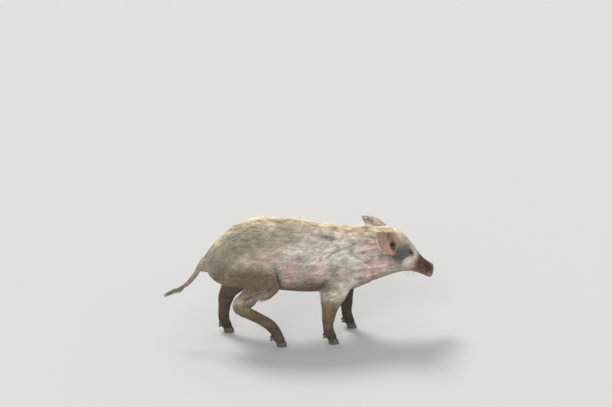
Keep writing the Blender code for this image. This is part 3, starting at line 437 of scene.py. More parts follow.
class Surface:
    """A mesh as arrays, with what is known at each of its points."""

    def __init__(self, mesh):
        self.places = rows_of(mesh.vertices, "co", 3, 3, float)
        self.quads = rows_of(mesh.loops, "vertex_index", 1, 4)
        self.edges = rows_of(mesh.edges, "vertices", 2, 2)
        self.count = np.bincount(self.edges.ravel(), minlength=len(self.places))[:, None]

    def beside(self, values):
        """The mean of each point's neighbours."""
        low, high = self.edges.T
        total = np.empty_like(values)
        size = len(values)
        for column in range(values.shape[1]):
            total[:, column] = np.bincount(low, values[high, column], size)
            total[:, column] += np.bincount(high, values[low, column], size)
        return total / np.maximum(self.count, 1)

    def soften(self, values, rounds):
        """Even out values over the surface."""
        rows = values.reshape(len(values), -1)
        for _ in range(rounds):
            rows = rows + (self.beside(rows) - rows) * 0.5
        return rows.reshape(values.shape)

    def even(self, share, rounds=1):
        """Move each point by a share of the way to the mean of its neighbours."""
        for _ in range(rounds):
            self.places = self.places + (self.beside(self.places) - self.places) * share

    def relax(self, rounds, out=-0.57, share=1.0):
        """Take the steps of the voxels out of the shape without shrinking it."""
        for _ in range(rounds):
            self.even(0.55 * share)
            self.even(out * share)

    def push(self, way, move):
        """Move each point along a direction."""
        self.places = self.places + move[:, None] * way

    def normals(self):
        """The outward direction at each point."""
        a, b, c, d = self.places[self.quads.T]
        across = np.cross(c - a, d - b)
        total = np.zeros_like(self.places)
        for corner in range(4):
            for axis in range(3):
                total[:, axis] += np.bincount(self.quads[:, corner], across[:, axis], len(total))
        return unit(total)

    def rims(self):
        """How sharp the surface is at each point."""
        return ramp(0.93, 0.70, np.linalg.norm(self.soften(self.normals(), 7), axis=1))

    def tree(self):
        """A search tree of the surface."""
        return BVHTree.FromPolygons(self.places.tolist(), self.quads.tolist())


def joined_nodes(names, grow):
    """The named nodes in one object, each grown a little so that they overlap."""
    joined = bmesh.new()
    for name in names:
        single = bmesh.new()
        single.from_mesh(NODES[name].data)
        bmesh.ops.remove_doubles(single, verts=single.verts, dist=0.00001)
        single.normal_update()
        for vert in single.verts:
            vert.co += vert.normal * grow
        spare = bpy.data.meshes.new("spare")
        single.to_mesh(spare)
        single.free()
        joined.from_mesh(spare)
        bpy.data.meshes.remove(spare)
    mesh = bpy.data.meshes.new("joined")
    joined.to_mesh(mesh)
    joined.free()
    return placed("joined", mesh)


def grown_surface(names, voxel, grow=OVERLAP):
    """One closed surface round the named nodes."""
    obj = joined_nodes(names, grow)
    remesh = obj.modifiers.new("remesh", "REMESH")
    remesh.mode = "VOXEL"
    remesh.voxel_size = voxel
    remesh.adaptivity = 0.0
    graph = bpy.context.evaluated_depsgraph_get()
    surface = Surface(bpy.data.meshes.new_from_object(obj.evaluated_get(graph)))
    bpy.data.objects.remove(obj)
    return surface


def describe(surface, names):
    """Give each point the coat of the node that it lies on, eased from node to node."""
    points, faces, owner = [], [], []
    for name in names:
        mesh = NODES[name].data
        faces += [[len(points) + index for index in face.vertices] for face in mesh.polygons]
        owner += [KINDS.index(kind_of(name))] * len(mesh.polygons)
        points += [vert.co.copy() for vert in mesh.vertices]
    tree = BVHTree.FromPolygons(points, faces)
    surface.kind = np.array([owner[tree.find_nearest(place)[2]] for place in surface.places.tolist()])
    fields = np.array([COAT[kind] for kind in KINDS])[surface.kind]
    fields[:, 6] *= np.sign(surface.places[:, 1])
    is_ear = surface.kind == KINDS.index("ear")
    eased, gently = surface.soften(fields, KIND_ROUNDS), surface.soften(fields, 4)
    fields = np.where(is_ear[:, None], gently, eased)
    surface.depth, surface.length, surface.width, surface.density, surface.rise = fields[:, :5].T
    surface.flow = fields[:, 5:]
    surface.ear = surface.soften(is_ear.astype(float), 2)


def midline(x):
    """How far to the left the middle of the body lies, as the head turns."""
    share = np.clip((x - TURN_FROM) / (DISC_MIDDLE[0] - TURN_FROM), 0.0, None)
    return DISC_MIDDLE[1] * share ** 1.6


def behind_disc(places):
    """How far each place lies behind the middle of the muzzle's disc."""
    return (DISC_MIDDLE - places) @ HEAD_AHEAD


def ear_base(places):
    """How far each place lies in the lower front of an ear, where it merges with the head."""
    share = np.zeros(len(places))
    for hole in EAR_HOLES:
        near = ramp(0.062, 0.050, gap_to(places, hole))
        share = np.maximum(share, ramp(0.014, 0.030, (places - hole) @ EAR_BASE_WAY) * near)
    return share


def eye_axes(word):
    """The outward direction of an eye, the way its slit runs, and the way up its lids."""
    side = 1.0 if word == "left" else -1.0
    out = (HEAD_ACROSS * side * 0.93 + HEAD_AHEAD * 0.24 + UP * 0.28).normalized()
    slit = HEAD_AHEAD * math.cos(EYE_SLANT) + UP * math.sin(EYE_SLANT)
    slit = (slit - out * slit.dot(out)).normalized()
    rise = out.cross(slit)
    return out, slit, rise if rise.z > 0 else -rise


def round_eye(places, word, half_sizes):
    """Each place's distance from an eye, as a share of an oval and in metres, and its height."""
    _, slit, rise = eye_axes(word)
    from_eye = places - EYES[word]
    gap = np.linalg.norm(from_eye, axis=1)
    up = from_eye @ rise
    oval = np.hypot(from_eye @ slit / half_sizes[0], up / half_sizes[1])
    return np.where(gap < 0.045, oval, 9.0), gap, up


def shape_skin(surface, is_front):
    """Level the ridge's locks, and draw the skin in by the coat's depth."""
    surface.relax(4)
    surface.relax(5, -0.56, ramp(0.3, 0.9, surface.ear)[:, None])
    off = np.abs(surface.places[:, 1] - midline(surface.places[:, 0]))
    ridge = ramp(0.045, 0.025, off) * ramp(0.2, 0.6, surface.soften(surface.normals(), 10)[:, 2])
    ridge *= ramp(0.39, 0.42, surface.places[:, 2]) * (surface.ear < 0.05)
    surface.even(ridge[:, None] * 0.6, RIDGE_ROUNDS)
    fold_creases(surface)
    if is_front:
        curl_ears(surface)
    surface.even(ear_base(surface.places)[:, None] * 0.7, EAR_BASE_ROUNDS)
    normals = unit(surface.soften(surface.normals(), 1))
    depth = surface.depth * ramp(0.004, 0.045, behind_disc(surface.places))
    surface.push(normals, -(depth + OVERLAP))
    if is_front:
        bed_eyes(surface)


def fold_creases(surface):
    """Fold the skin in along its creases, and raise it over the bones that show."""
    normals = surface.normals()
    outer = ramp(0.055, 0.075, np.abs(surface.places[:, 1]))
    for line, strength in CREASES:
        gap = side_gap(surface.places, line)
        fade = ramp(0.010, 0.080, side_gap(surface.places, (line[0], line[0])))
        move = CREASE_LIP * ramp(0.030, 0.015, gap) - CREASE_DEPTH * ramp(0.014, 0.0, gap)
        surface.push(normals, move * strength * outer * fade)
    for place, reach, height in SWELLINGS:
        surface.push(normals, height * ramp(reach, 0.0, gap_to(surface.places, place)))


def curl_ears(surface):
    """Roll the rim of each ear a little outward, so that its hollow shows."""
    rim = surface.soften(surface.rims() * surface.ear, 50)
    rim = surface.soften(ramp(0.10, 0.45, rim) * ramp(0.3, 0.9, surface.ear), 8)
    facing = np.tile(EAR_FACING, (len(rim), 1))
    facing[:, 1] *= np.sign(surface.places[:, 1])
    surface.push(facing, rim * EAR_CURL)


def bed_eyes(surface):
    """Smooth the skin over each eye, keep it for the lids, and sink it behind the opening."""
    near = np.minimum(*(gap_to(surface.places, eye) for eye in EYES.values()))
    surface.even(ramp(0.025, 0.018, near)[:, None], EYE_BED_ROUNDS)
    surface.lid_tree = surface.tree()
    for word in EYES:
        oval, gap, _ = round_eye(surface.places, word, EYE_OPENING)
        surface.push(eye_axes(word)[0], ramp(0.95, 0.65, oval) * (gap < 0.03) * -EYE_BED_DEPTH)


def beyond_cut(places, cut):
    """How far each place lies ahead of one of the neck's two cuts."""
    (x, z), (ahead, up) = cut
    reach = (places[:, 0] - x - SHIFT_X) * ahead + (places[:, 2] - z) * up
    return reach / math.hypot(ahead, up)


def make_surface(names, voxel, is_front):
    """The skin over some nodes, drawn in where the other surface covers the neck."""
    surface = grown_surface(names, voxel)
    describe(surface, names)
    shape_skin(surface, is_front)
    if is_front:
        covered = ramp(0.050, 0.012, beyond_cut(surface.places, NECK_CUT))
    else:
        covered = ramp(-0.050, -0.012, beyond_cut(surface.places, HEAD_CUT))
    covered *= surface.kind == KINDS.index("neck")
    surface.places[:, 1:] -= (surface.places[:, 1:] - NECK_MIDDLE) * (covered * SEAM_DIVE)[:, None]
    return surface


def marking_at(places, upward):
    """The colour of skin and coat at each place, as light sent back, the same on both, with painted
    shade below and in the creases, and a painted highlight along the back.
    """
    x, y, z = places.T
    side = np.sign(y)
    fine = layered(places, 0.030, 3)
    shifted_x = x + (layered(places, 0.060, 9) - 0.5) * 0.060
    shifted_z = z + (layered(places, 0.060, 12) - 0.5) * 0.060
    colour = np.tile(PALE, (len(places), 1))

    def cover(over, share):
        """Lay a colour over what is there."""
        nonlocal colour
        colour = blended(colour, over, share)

    cover(OLIVE, ramp(0.45, 0.75, layered(places, 0.110, 5)) * 0.45)
    for mid_x, mid_z, half_x, half_z, over, strength, *only in PATCHES:
        reach = np.hypot((shifted_x - mid_x) / half_x, (shifted_z - mid_z) / half_z)
        share = ramp(1.35, 0.45, reach) * strength
        cover(over, share * (side == only[0]) if only else share)
    spots = ramp(0.60, 0.72, layered(places, 0.020, 21))
    speckled = ramp(0.02, 0.12, x) * ramp(0.37, 0.30, x)
    cover(GREY, spots * (0.15 + 0.55 * speckled) * ramp(0.25, 0.32, z))
    # Painted highlight: a cream band along the middle of the back, for the light from behind
    cover(CREAM, ramp(0.050, 0.012, np.abs(y - midline(x))) * ramp(0.41, 0.46, z) * 0.85)
    # Darker low on the body where the surface faces down: partly mud, partly painted shade under the
    # belly, chest and neck, kept off the upper arm
    off_shoulder = ramp(0.020, 0.065, np.abs(x - 0.200))
    cover(EARTH_AND_SHADE, ramp(0.00, 0.60, -upward) * ramp(0.34, 0.25, z) * 0.8 * off_shoulder)
    cover(WET_MUD_AND_SHADE, ramp(0.30, 0.80, -upward) * ramp(0.29, 0.24, z) * (x < 0.25) * 0.65)
    splash = z + (fine - 0.5) * 0.080
    dried_to = np.where(x < 0.0, 0.245, 0.228)
    cover(KHAKI, ramp(dried_to, dried_to - 0.055, splash) * np.where(x < 0.0, 0.62, 0.85))
    cover(WET_MUD_AND_SHADE, ramp(0.125, 0.070, splash) * 0.80)
    # The far side's legs darker: partly wet mud, partly painted shade
    cover(WET_MUD_AND_SHADE, ramp(0.270, 0.170, splash) * 0.90 * (side > 0))
    cover(EARTH_AND_SHADE, ramp(0.58, 0.80, fine) * ramp(0.50, 0.20, z) * 0.40)
    # Painted shade along the creases of the skin
    for line, strength in CREASES:
        shade = ramp(0.017, 0.002, side_gap(places, line)) * strength * 0.85
        shade *= ramp(0.0, 0.070, side_gap(places, (line[0], line[0])))
        cover(CREASE_SHADE, shade * ramp(0.055, 0.075, np.abs(y)))
    mirrored = np.stack([x, np.abs(y), z], 1)
    for *spot, reach, strength in BARE_SPOTS:
        cover(RED_SKIN, ramp(reach, reach * 0.5, gap_to(mirrored, spot)) * strength)
    lie = np.where((z < 0.235)[:, None], places * (1.0, 1.0, 0.28), places * (0.28, 1.0, 1.0))
    streak = 0.7 * layered(lie, 0.0055, 23) + 0.3 * layered(lie, 0.017, 27)
    return colour * (0.90 + 0.20 * fine + STREAKS * (streak - 0.5))[:, None]


def shaded_round_eyes(marking, places):
    """Darken the skin and hair round each eye."""
    for word in EYES:
        oval = round_eye(places, word, EYE_LIDS)[0]
        marking = blended(marking, EYE_SHADE, ramp(2.2, 0.9, oval) * 0.75)
    return marking


def cheek(tree, x, z, side):
    """Where the head's side is met, seen straight from that side, and the normal there."""
    across = HEAD_ACROSS * side
    return tree.ray_cast(turned(x, 0.0, z) + across * 0.2, -across)[:2]


def detail_head(surface):
    """Deepen the line of the mouth and the ears' hollows, and crease the eyes, ears and snout."""
    places = surface.places
    normals = surface.normals()
    tree = surface.tree()
    surface.mouth = surface.trough = np.full(len(places), 1.0)
    for side in SIDES:
        line = [cheek(tree, x, z, side)[0] or turned(x, 0.0, z) + HEAD_ACROSS * side * 0.03
                for x, z in MOUTH_LINE]
        surface.mouth = np.minimum(surface.mouth, gap_to_line(places, line))
        line = [turned(x, y * side, z) for x, y, z in EAR_TROUGH_LINE]
        own_side = places[:, 1] * side > 0.02
        surface.trough = np.where(own_side, side_gap(places, line), surface.trough)
    surface.hole = np.minimum(*(gap_to(places, hole) for hole in EAR_HOLES))
    lip = ramp(0.0035, 0.0060, surface.mouth) * ramp(0.012, 0.0070, surface.mouth)
    eye_fold = np.zeros(len(places))
    for word in EYES:
        oval, _, up = round_eye(places, word, EYE_LIDS)
        span = ramp(1.25, 1.6, oval) * ramp(3.0, 2.0, oval)
        span *= ramp(-0.010, 0.012, up + 0.006 * layered(places, 0.010, 67))
        eye_fold += np.cos((oval - 1.65) * math.tau / EYE_FOLDS) * span
    across_ear = places @ (0.77, 0.0, 0.64) + 0.008 * layered(places, 0.020, 63)
    ridge = np.sin(across_ear * math.tau / EAR_RIDGES) * ramp(0.014, 0.030, surface.hole)
    from_disc = behind_disc(places)
    snout = ramp(0.085, 0.045, from_disc) * ramp(0.004, 0.016, from_disc)
    snout *= ramp(-0.2, 0.5, normals[:, 2])
    wrinkle = np.sin((from_disc + 0.004 * noise(places, 0.012, 61)) * math.tau / SNOUT_WRINKLES)
    cup = surface.ear * ramp(0.0, 0.5, surface.inner_ear) * ramp(0.017, 0.002, surface.trough)
    cup *= 0.0020 + 0.0045 * ramp(0.468, 0.440, places[:, 2])
    move = -MOUTH_DEPTH * ramp(0.0032, 0.0, surface.mouth) + LIP_HEIGHT * lip - cup
    move += 0.0008 * surface.ear * surface.inner_ear * ridge + 0.0007 * snout * wrinkle
    move += 0.0008 * eye_fold + 0.0012 * ramp(0.011, 0.003, from_disc)
    surface.push(normals, move)


def tune_coat(surface):
    """Vary the coat over the body: short on the face, long on the ridge, thin below."""
    places = surface.places
    x, y, z = places.T
    side = np.sign(y)
    surface.normal = unit(surface.soften(surface.normals(), 3))
    off_ear = surface.ear < 0.5
    face = ramp(0.20, 0.025, gap_to(places, DISC_MIDDLE)) * off_ear
    surface.length *= 1.0 - 0.62 * face
    surface.width *= 1.0 - 0.30 * face
    surface.density *= 1.0 + 0.45 * face
    for word in EYES:
        oval, gap, _ = round_eye(places, word, EYE_OPENING)
        surface.length *= 1.0 - 0.40 * ramp(0.036, 0.012, gap)
        surface.density *= np.where(gap < 0.030, ramp(0.90, 1.10, oval), 1.0)
    below = ramp(0.35, 0.85, -surface.normal[:, 2]) * ramp(0.20, 0.22, z)
    surface.density *= 1.0 - 0.55 * below
    surface.length *= 1.0 - 0.25 * below
    facing = surface.normal @ (0.55, 0.0, 0.1) + 0.75 * surface.normal[:, 1] * side
    core = ramp(0.50, 0.99, surface.soften(surface.ear, 45))
    base = ear_base(places)
    inner = surface.ear * ramp(-0.1, 0.4, facing) * core * (1.0 - base)
    edge = surface.ear * surface.rims() * (1.0 - 0.7 * base)
    surface.inner_ear, surface.ear_edge = inner, edge
    surface.density *= 1.0 - 0.55 * inner * (1.0 - edge)
    surface.density *= 1.0 + 1.6 * edge
    surface.length *= 1.0 + 0.35 * edge
    surface.rise += 0.28 * edge
    ridge = ramp(0.034, 0.008, np.abs(y - midline(x))) * ramp(0.5, 0.8, surface.normal[:, 2])
    ridge *= ramp(0.40, 0.44, z) * ramp(-0.36, -0.22, x) * (surface.ear < 0.3)
    surface.length += ridge * 0.010
    surface.rise += ridge * 0.26
    surface.width += ridge * 0.0003
    coronet = ramp(0.052, 0.036, z)
    surface.length *= 1.0 + 0.55 * coronet
    surface.density *= 1.0 + 0.6 * coronet
    surface.rise += 0.12 * coronet
    surface.density *= ramp(0.004, 0.016, behind_disc(places))
    up_face = ramp(0.33, 0.41, z) * ramp(0.37, 0.41, x) * off_ear
    back = np.array((-1.0, 0.0, 0.05))
    wanted = back + ((-0.72, 0.0, 0.69) - back) * up_face[:, None]
    wanted[:, 1] += side * 0.22
    surface.flow = blended(surface.flow, wanted, ramp(0.33, 0.38, x) * off_ear)


def colour_surface(surface, is_head):
    """Give each point of the skin its marking."""
    marking = marking_at(surface.places, surface.normal[:, 2])
    if is_head:
        marking = shaded_round_eyes(marking, surface.places)
        ear = surface.inner_ear * (1.0 - 0.8 * surface.ear_edge)
        low_half = ramp(0.462, 0.425, surface.places[:, 2])
        # Painted shade in and round the hole of each ear
        hollow = np.maximum(ramp(0.0250, 0.0120, surface.hole) * surface.ear,
                            ramp(0.0165, 0.0120, surface.hole))
        for over, share in (
                # painted shade along the line of the mouth
                (MOUTH_SHADE, ramp(0.0042, 0.0010, surface.mouth) * 0.85),
                (EAR_BROWN, ear * 0.85),
                (EAR_FLUSH, ear * low_half * 0.75),
                (CREAM, surface.ear_edge * 0.75),
                # painted shade along the trough in each ear's hollow
                (EAR_TROUGH_SHADE, ramp(0.016, 0.004, surface.trough) * surface.inner_ear * 0.85),
                (EAR_HOLE_SHADE, hollow)):
            marking = blended(marking, over, share)
    surface.marking = marking


def roots_on(surface, draw, is_front):
    """Where bristles grow on a surface, and all that shapes them."""
    a, b, c, d = surface.quads.T
    corners = np.concatenate([np.stack([a, b, c], 1), np.stack([a, c, d], 1)])
    p, q, r = surface.places[corners.T]
    area = np.linalg.norm(np.cross(q - p, r - p), axis=1) / 2
    weight = area * surface.density[corners].mean(1) * 1e4
    middle = surface.places[corners].mean(1)
    past_middle = beyond_cut(middle, NECK_CUT) + beyond_cut(middle, HEAD_CUT) > 0.0
    weight *= (surface.kind[corners[:, 0]] != KINDS.index("neck")) | (past_middle == is_front)
    count = int(weight.sum())
    chosen = draw.choice(len(weight), count, p=weight / weight.sum())
    first, second = draw.random(count), draw.random(count)
    folded = first + second > 1.0
    first = np.where(folded, 1.0 - first, first)
    second = np.where(folded, 1.0 - second, second)
    shares = np.stack([1.0 - first - second, first, second], 1)
    ends = corners[chosen]
    roots = SimpleNamespace(kind=surface.kind[ends[:, 0]])
    for name in ("places", "normal", "flow", "length", "width", "rise", "marking", "inner_ear"):
        values = getattr(surface, name)[ends]
        parts = values * (shares if values.ndim == 2 else shares[:, :, None])
        setattr(roots, name, parts.sum(1))
    roots.normal = unit(roots.normal)
    return roots


def select(roots, mask):
    """Some of the roots."""
    return SimpleNamespace(**{name: values[mask] for name, values in vars(roots).items()})


def merged(first, second):
    """Two sets of roots as one."""
    pairs = {name: (values, getattr(second, name)) for name, values in vars(first).items()}
    return SimpleNamespace(**{name: np.concatenate(pair) for name, pair in pairs.items()})


def lie_of(roots, draw):
    """The way each bristle lies on the skin, with the wander of real hair."""
    flow = unit(roots.flow - roots.normal * (roots.flow * roots.normal).sum(1, keepdims=True))
    aside = np.cross(roots.normal, flow)
    wander = (noise(roots.places, 0.045, 31) - 0.5) * 0.9
    wander += (noise(roots.places, 0.013, 33) - 0.5) * 0.8
    wander += draw.normal(0.0, 0.13, len(flow))
    return flow * np.cos(wander)[:, None] + aside * np.sin(wander)[:, None]


def bristle_paths(roots, draw):
    """Stations of each bristle from under the skin to its tip, gathered into thin locks."""
    lie = lie_of(roots, draw)
    length = roots.length * draw.uniform(0.70, 1.20, len(lie))
    raised = roots.rise * draw.uniform(0.6, 1.5, len(lie)) * length
    root = roots.places - roots.normal * (ROOT_DEPTH + 0.25 * roots.width)[:, None]
    middle = root + lie * (length * 0.5)[:, None] + roots.normal * (raised * 0.62)[:, None]
    tip = root + lie * length[:, None] + roots.normal * (raised * 0.80)[:, None]
    tip[:, 2] -= length * 0.05
    cell = np.floor(roots.places / LOCK_SIZE + noise(roots.places, 0.004, 41)[:, None])
    key = hashed(cell.astype(np.int64)) & 0xFFFFF
    members = np.maximum(np.bincount(key, minlength=0x100000), 1)
    for axis in range(3):
        gathered = np.bincount(key, tip[:, axis], 0x100000) / members
        pull = LOCK_PULL * (gathered[key] - tip[:, axis])
        tip[:, axis] += np.clip(pull, -LOCK_LIMIT, LOCK_LIMIT)
    height = ((tip - root) * roots.normal).sum(1)
    tip -= roots.normal * np.minimum(height - TIP_LIFT, 0.0)[:, None]
    return np.stack([root, middle, tip], axis=1)


def tone_of(roots, draw):
    """How light or dark each bristle is: streaks along the body and its own chance."""
    streak = layered(roots.places * (0.28, 1.0, 1.0), 0.0075, 51) - 0.5
    blotch = layered(roots.places, 0.028, 57) - 0.5
    tone = 1.0 + 1.45 * streak + 0.55 * blotch + draw.normal(0.0, 0.20, len(streak))
    return np.clip(tone, 0.30, 1.9)


def fitted(first, second):
    """Pairs of numbers, scaled to the unit square."""
    pairs = np.stack([first, second], 1)
    low, high = pairs.min(0), pairs.max(0)
    return (pairs - low) / (high - low)


def rolled_out(roots, style):
    """Each root's place on the skin unrolled into a square."""
    x, y, z = roots.places.T
    if style == "leaf":
        cell = (y > 0) * 2.0 + (roots.inner_ear > 0.5)
        return fitted(x, z) * (0.23, 0.96) + np.stack([cell * 0.25 + 0.01, cell * 0.0 + 0.02], 1)
    along, first, second = (x, y, z) if style == "lengthwise" else (z, x, y)
    bins = np.digitize(along, np.linspace(along.min(), along.max(), 14))
    members = np.maximum(np.bincount(bins, minlength=16), 1)
    first, second = (part - (np.bincount(bins, part, 16) / members)[bins] for part in (first, second))
    return fitted(np.arctan2(first, second), along) * 0.96 + 0.02


def spike_points(paths, ups, widths, flatness):
    """The corners of each spike, ring by ring along its path, and last its tip."""
    rings = paths.shape[1] - 1
    heading = unit(np.gradient(paths, axis=1))
    across = unit(np.cross(heading, ups[:, None]))
    upward = np.cross(across, heading)
    taper = 1.0 - 0.75 * (np.arange(rings) / rings) ** 1.6
    half = (widths[:, None] / 2 * taper)[:, :, None]
    base = paths[:, :rings]
    side, over = across[:, :rings] * half, upward[:, :rings] * (half * flatness)
    corners = np.stack([base + side - over * 0.5, base + over, base - side - over * 0.5], axis=2)
    corners = corners.reshape(len(paths), rings * 3, 3)
    return np.concatenate([corners, paths[:, rings:]], axis=1).astype(np.float32)


def spike_faces(rings):
    """The triangles of one spike, by the numbers of its corners."""
    tip = rings * 3
    faces = [(0, 1, 2)]
    for ring in range(rings):
        for here, there in ((0, 1), (1, 2), (2, 0)):
            low, high = ring * 3 + here, ring * 3 + there
            if ring == rings - 1:
                faces.append((low, tip, high))
            else:
                faces += [(low, low + 3, high + 3), (low, high + 3, high)]
    return np.array(faces)


def spike_mesh(name, paths, ups, widths, flatness, markings, tones, patches, material):
    """Closed three-sided spikes along the given paths, in one piece of bristles.

    paths is spikes by stations by 3, and the last station is the tip. Each of ups, widths,
    markings and tones has a value for each spike, or one for all.
    """
    count, stations = paths.shape[:2]
    ups, markings = (np.broadcast_to(values, (count, 3)) for values in (ups, markings))
    widths, tones = (np.broadcast_to(values, count) for values in (widths, tones))
    rings = stations - 1
    size = rings * 3 + 1
    loops = (spike_faces(rings)[None] + (np.arange(count) * size)[:, None, None]).ravel()
    mesh = bpy.data.meshes.new(name)
    mesh.vertices.add(count * size)
    mesh.vertices.foreach_set("co", spike_points(paths, ups, widths, flatness).ravel())
    mesh.loops.add(len(loops))
    mesh.loops.foreach_set("vertex_index", loops.astype(np.int32))
    mesh.polygons.add(len(loops) // 3)
    mesh.polygons.foreach_set("loop_start", np.arange(0, len(loops), 3, dtype=np.int32))
    mesh.update(calc_edges=True)
    along = np.append(np.repeat(np.arange(rings) / rings, 3), 1.0)
    aside = np.append(np.tile((PATCH_ASIDE, 0.0, -PATCH_ASIDE), rings), 0.0)
    spots = patches[:, None] + np.stack([aside, (along - 0.5) * PATCH_LENGTH], 1)
    spots = spots.astype(np.float32).reshape(-1, 2)
    mesh.uv_layers.new(name="OFBake").data.foreach_set("uv", spots[loops].ravel())
    keep(mesh, marking=np.repeat(markings, size, axis=0), tone=np.repeat(tones, size),
         along=np.tile(along, count))
    mesh.shade_smooth()
    return dressed(placed(name, mesh), material)


def grow_coat(surfaces, material):
    """All the bristles of the body, in pieces small enough to keep."""
    draw = np.random.default_rng(SEED)
    body, head = surfaces
    roots = merged(roots_on(body, draw, False), roots_on(head, draw, True))
    kind = np.array(KINDS)[roots.kind]
    left = roots.places[:, 1] > 0
    groups = [("head", kind == "head", "lengthwise"), ("ears", kind == "ear", "leaf"),
              ("tail", kind == "tail", "upright"),
              ("trunk", np.isin(kind, ("torso", "neck")), "lengthwise")]
    for word, own in (("right", ~left), ("left", left)):
        groups.append(("hind_" + word, np.isin(kind, ("thigh", "shank", "hind_foot")) & own, "upright"))
        groups.append(("fore_" + word, np.isin(kind, ("forearm", "fore_foot")) & own, "upright"))
    for name, mask, style in groups:
        some = select(roots, mask)
        parts = math.ceil(len(some.kind) / LONGEST_PIECE)
        order = np.argsort(some.places[:, 0], kind="stable")
        for number, indices in enumerate(np.array_split(order, parts), 1):
            piece = select(some, indices)
            full_name = "coat_" + name + (f"_{number}" if parts > 1 else "")
            spike_mesh(full_name, bristle_paths(piece, draw), piece.normal, piece.width, COAT_FLATNESS,
                       piece.marking, tone_of(piece, draw), rolled_out(piece, style), material)


class Painter:
    """Short words for building a material's nodes."""

    def __init__(self, name):
        self.material = bpy.data.materials.new(name)
        self.material.use_nodes = True
        self.tree = self.material.node_tree
        self.surface = self.tree.nodes["Principled BSDF"]

    def feed(self, socket, value):
        """Link a socket, or set it."""
        if isinstance(value, bpy.types.NodeSocket):
            self.tree.links.new(value, socket)
        else:
            socket.default_value = value

    def node(self, kind, values=(), **settings):
        """Add a node, with its settings and its input values by name or number."""
        made = self.tree.nodes.new("ShaderNode" + kind)
        for key, value in settings.items():
            setattr(made, key, value)
        for key, value in dict(values).items():
            self.feed(made.inputs[key], value)
        return made

    def attribute(self, name, output="Fac"):
        """A value kept at the points of the mesh."""
        return self.node("Attribute", attribute_name=name).outputs[output]

    def place(self):
        """Position on the model."""
        return self.node("TexCoord").outputs["Object"]

    def noise(self, scale, detail=4.0, stretch=None):
        """Noise over the model, some times to the metre."""
        vector = self.place()
        if stretch:
            vector = self.node("Mapping", {"Vector": vector, "Scale": stretch}).outputs["Vector"]
        values = {"Vector": vector, "Scale": scale, "Detail": detail, "Roughness": 0.6}
        return self.node("TexNoise", values).outputs["Fac"]

    def cells(self, scale, edge):
        """Small cells over the model, with soft edges."""
        values = {"Vector": self.place(), "Scale": scale}
        cells = self.node("TexVoronoi", values, feature="DISTANCE_TO_EDGE")
        return self.spread(cells.outputs["Distance"], 0.0, edge)

    def spread(self, value, low, high, out_low=0.0, out_high=1.0):
        """Stretch a range of values to another."""
        values = {"Value": value, 1: low, 2: high, 3: out_low, 4: out_high}
        return self.node("MapRange", values).outputs["Result"]

    def product(self, first, second):
        """Two values multiplied."""
        return self.node("Math", {0: first, 1: second}, operation="MULTIPLY").outputs[0]

    def mix(self, share, first, second, blend="MIX"):
        """Mix two colours."""
        first, second = (colour if isinstance(colour, bpy.types.NodeSocket) else (*colour, 1.0)
                         for colour in (first, second))
        values = {0: share, 6: first, 7: second}
        return self.node("Mix", values, data_type="RGBA", blend_type=blend).outputs[2]

    def tint(self, colour, by):
        """A colour multiplied by another."""
        return self.mix(1.0, colour, by, "MULTIPLY")

    def shade(self, colour, by):
        """A colour made lighter or darker."""
        return self.tint(colour, self.node("CombineColor", {0: by, 1: by, 2: by}).outputs["Color"])

    def bump(self, height, strength, distance, under=None):
        """A bump of the surface, over another."""
        values = {"Height": height, "Strength": strength, "Distance": distance}
        if under is not None:
            values["Normal"] = under
        return self.node("Bump", values).outputs["Normal"]

    def finished(self, sockets):
        """The material, with these sockets of its surface fed or set."""
        for name, value in sockets.items():
            self.feed(self.surface.inputs[name], value)
        return self.material


def skin_material():
    """Thin skin under the bristles: the markings, flushed with pink, creased and grained."""
    paint = Painter("skin")
    marking = paint.attribute("marking", "Color")
    dusty = paint.tint(marking, (0.80, 0.74, 0.66))
    colour = paint.mix(paint.spread(paint.noise(38.0), 0.35, 0.65, 0.0, 0.35),
                       paint.tint(marking, SKIN_FLUSH), dusty)
    grain = paint.noise(420.0, 5.0)
    colour = paint.mix(paint.spread(grain, 0.45, 0.75, 0.0, 0.45), colour,
                       paint.tint(colour, (0.55, 0.50, 0.45)))
    streaks = paint.noise(300.0, 3.0, (0.16, 1.0, 1.0))
    colour = paint.shade(colour, paint.spread(streaks, 0.30, 0.70, 0.55, 1.12))
    ear = paint.product(paint.attribute("inner_ear"), 0.25)
    folds = paint.bump(paint.noise(70.0, 5.0, (0.6, 1.0, 1.0)), 0.35, 0.002,
                       paint.bump(paint.cells(260.0, 0.12), 0.13, 0.0006))
    return paint.finished({
        "Base Color": paint.mix(ear, colour, (0.40, 0.24, 0.19)),
        "Roughness": paint.spread(grain, 0.3, 0.7, 0.52, 0.74),
        "Subsurface Weight": 0.10,
        "Subsurface Radius": (0.010, 0.004, 0.002),
        "Subsurface Scale": 0.30,
        "Normal": paint.bump(grain, 0.30, 0.0006, folds)})


def coat_material():
    """Bristles: the markings made lighter towards the tip, each with its own tone."""
    paint = Painter("bristle")
    marking = paint.attribute("marking", "Color")
    along = paint.attribute("along")
    tipped = paint.mix(paint.spread(along, 0.2, 1.0), marking, paint.tint(marking, TIP_TINT))
    shade = paint.product(paint.attribute("tone"), paint.spread(along, 0.0, 0.6, 0.78, 1.12))
    return paint.finished({
        "Base Color": paint.shade(tipped, shade),
        "Roughness": 0.48,
        "Specular IOR Level": 0.45,
        "Sheen Weight": 0.15})


def eye_material():
    """A wet dark brown eye with a black pupil and a little white."""
    paint = Painter("eye")
    angle = paint.attribute("from_gaze")
    iris = paint.shade((0.030, 0.014, 0.007), paint.spread(paint.noise(900.0, 3.0), 0.3, 0.7, 0.7, 1.3))
    colour = paint.mix(paint.spread(angle, 0.24, 0.30), (0.002, 0.002, 0.003), iris)
    colour = paint.mix(paint.spread(angle, 0.62, 0.70), colour, (0.012, 0.008, 0.007))
    return paint.finished({
        "Base Color": paint.mix(paint.spread(angle, 0.80, 0.90), colour, (0.10, 0.065, 0.05)),
        "Roughness": 0.40,
        "Specular IOR Level": 0.1,
        "Coat Weight": 0.35,
        "Coat Roughness": 0.04})


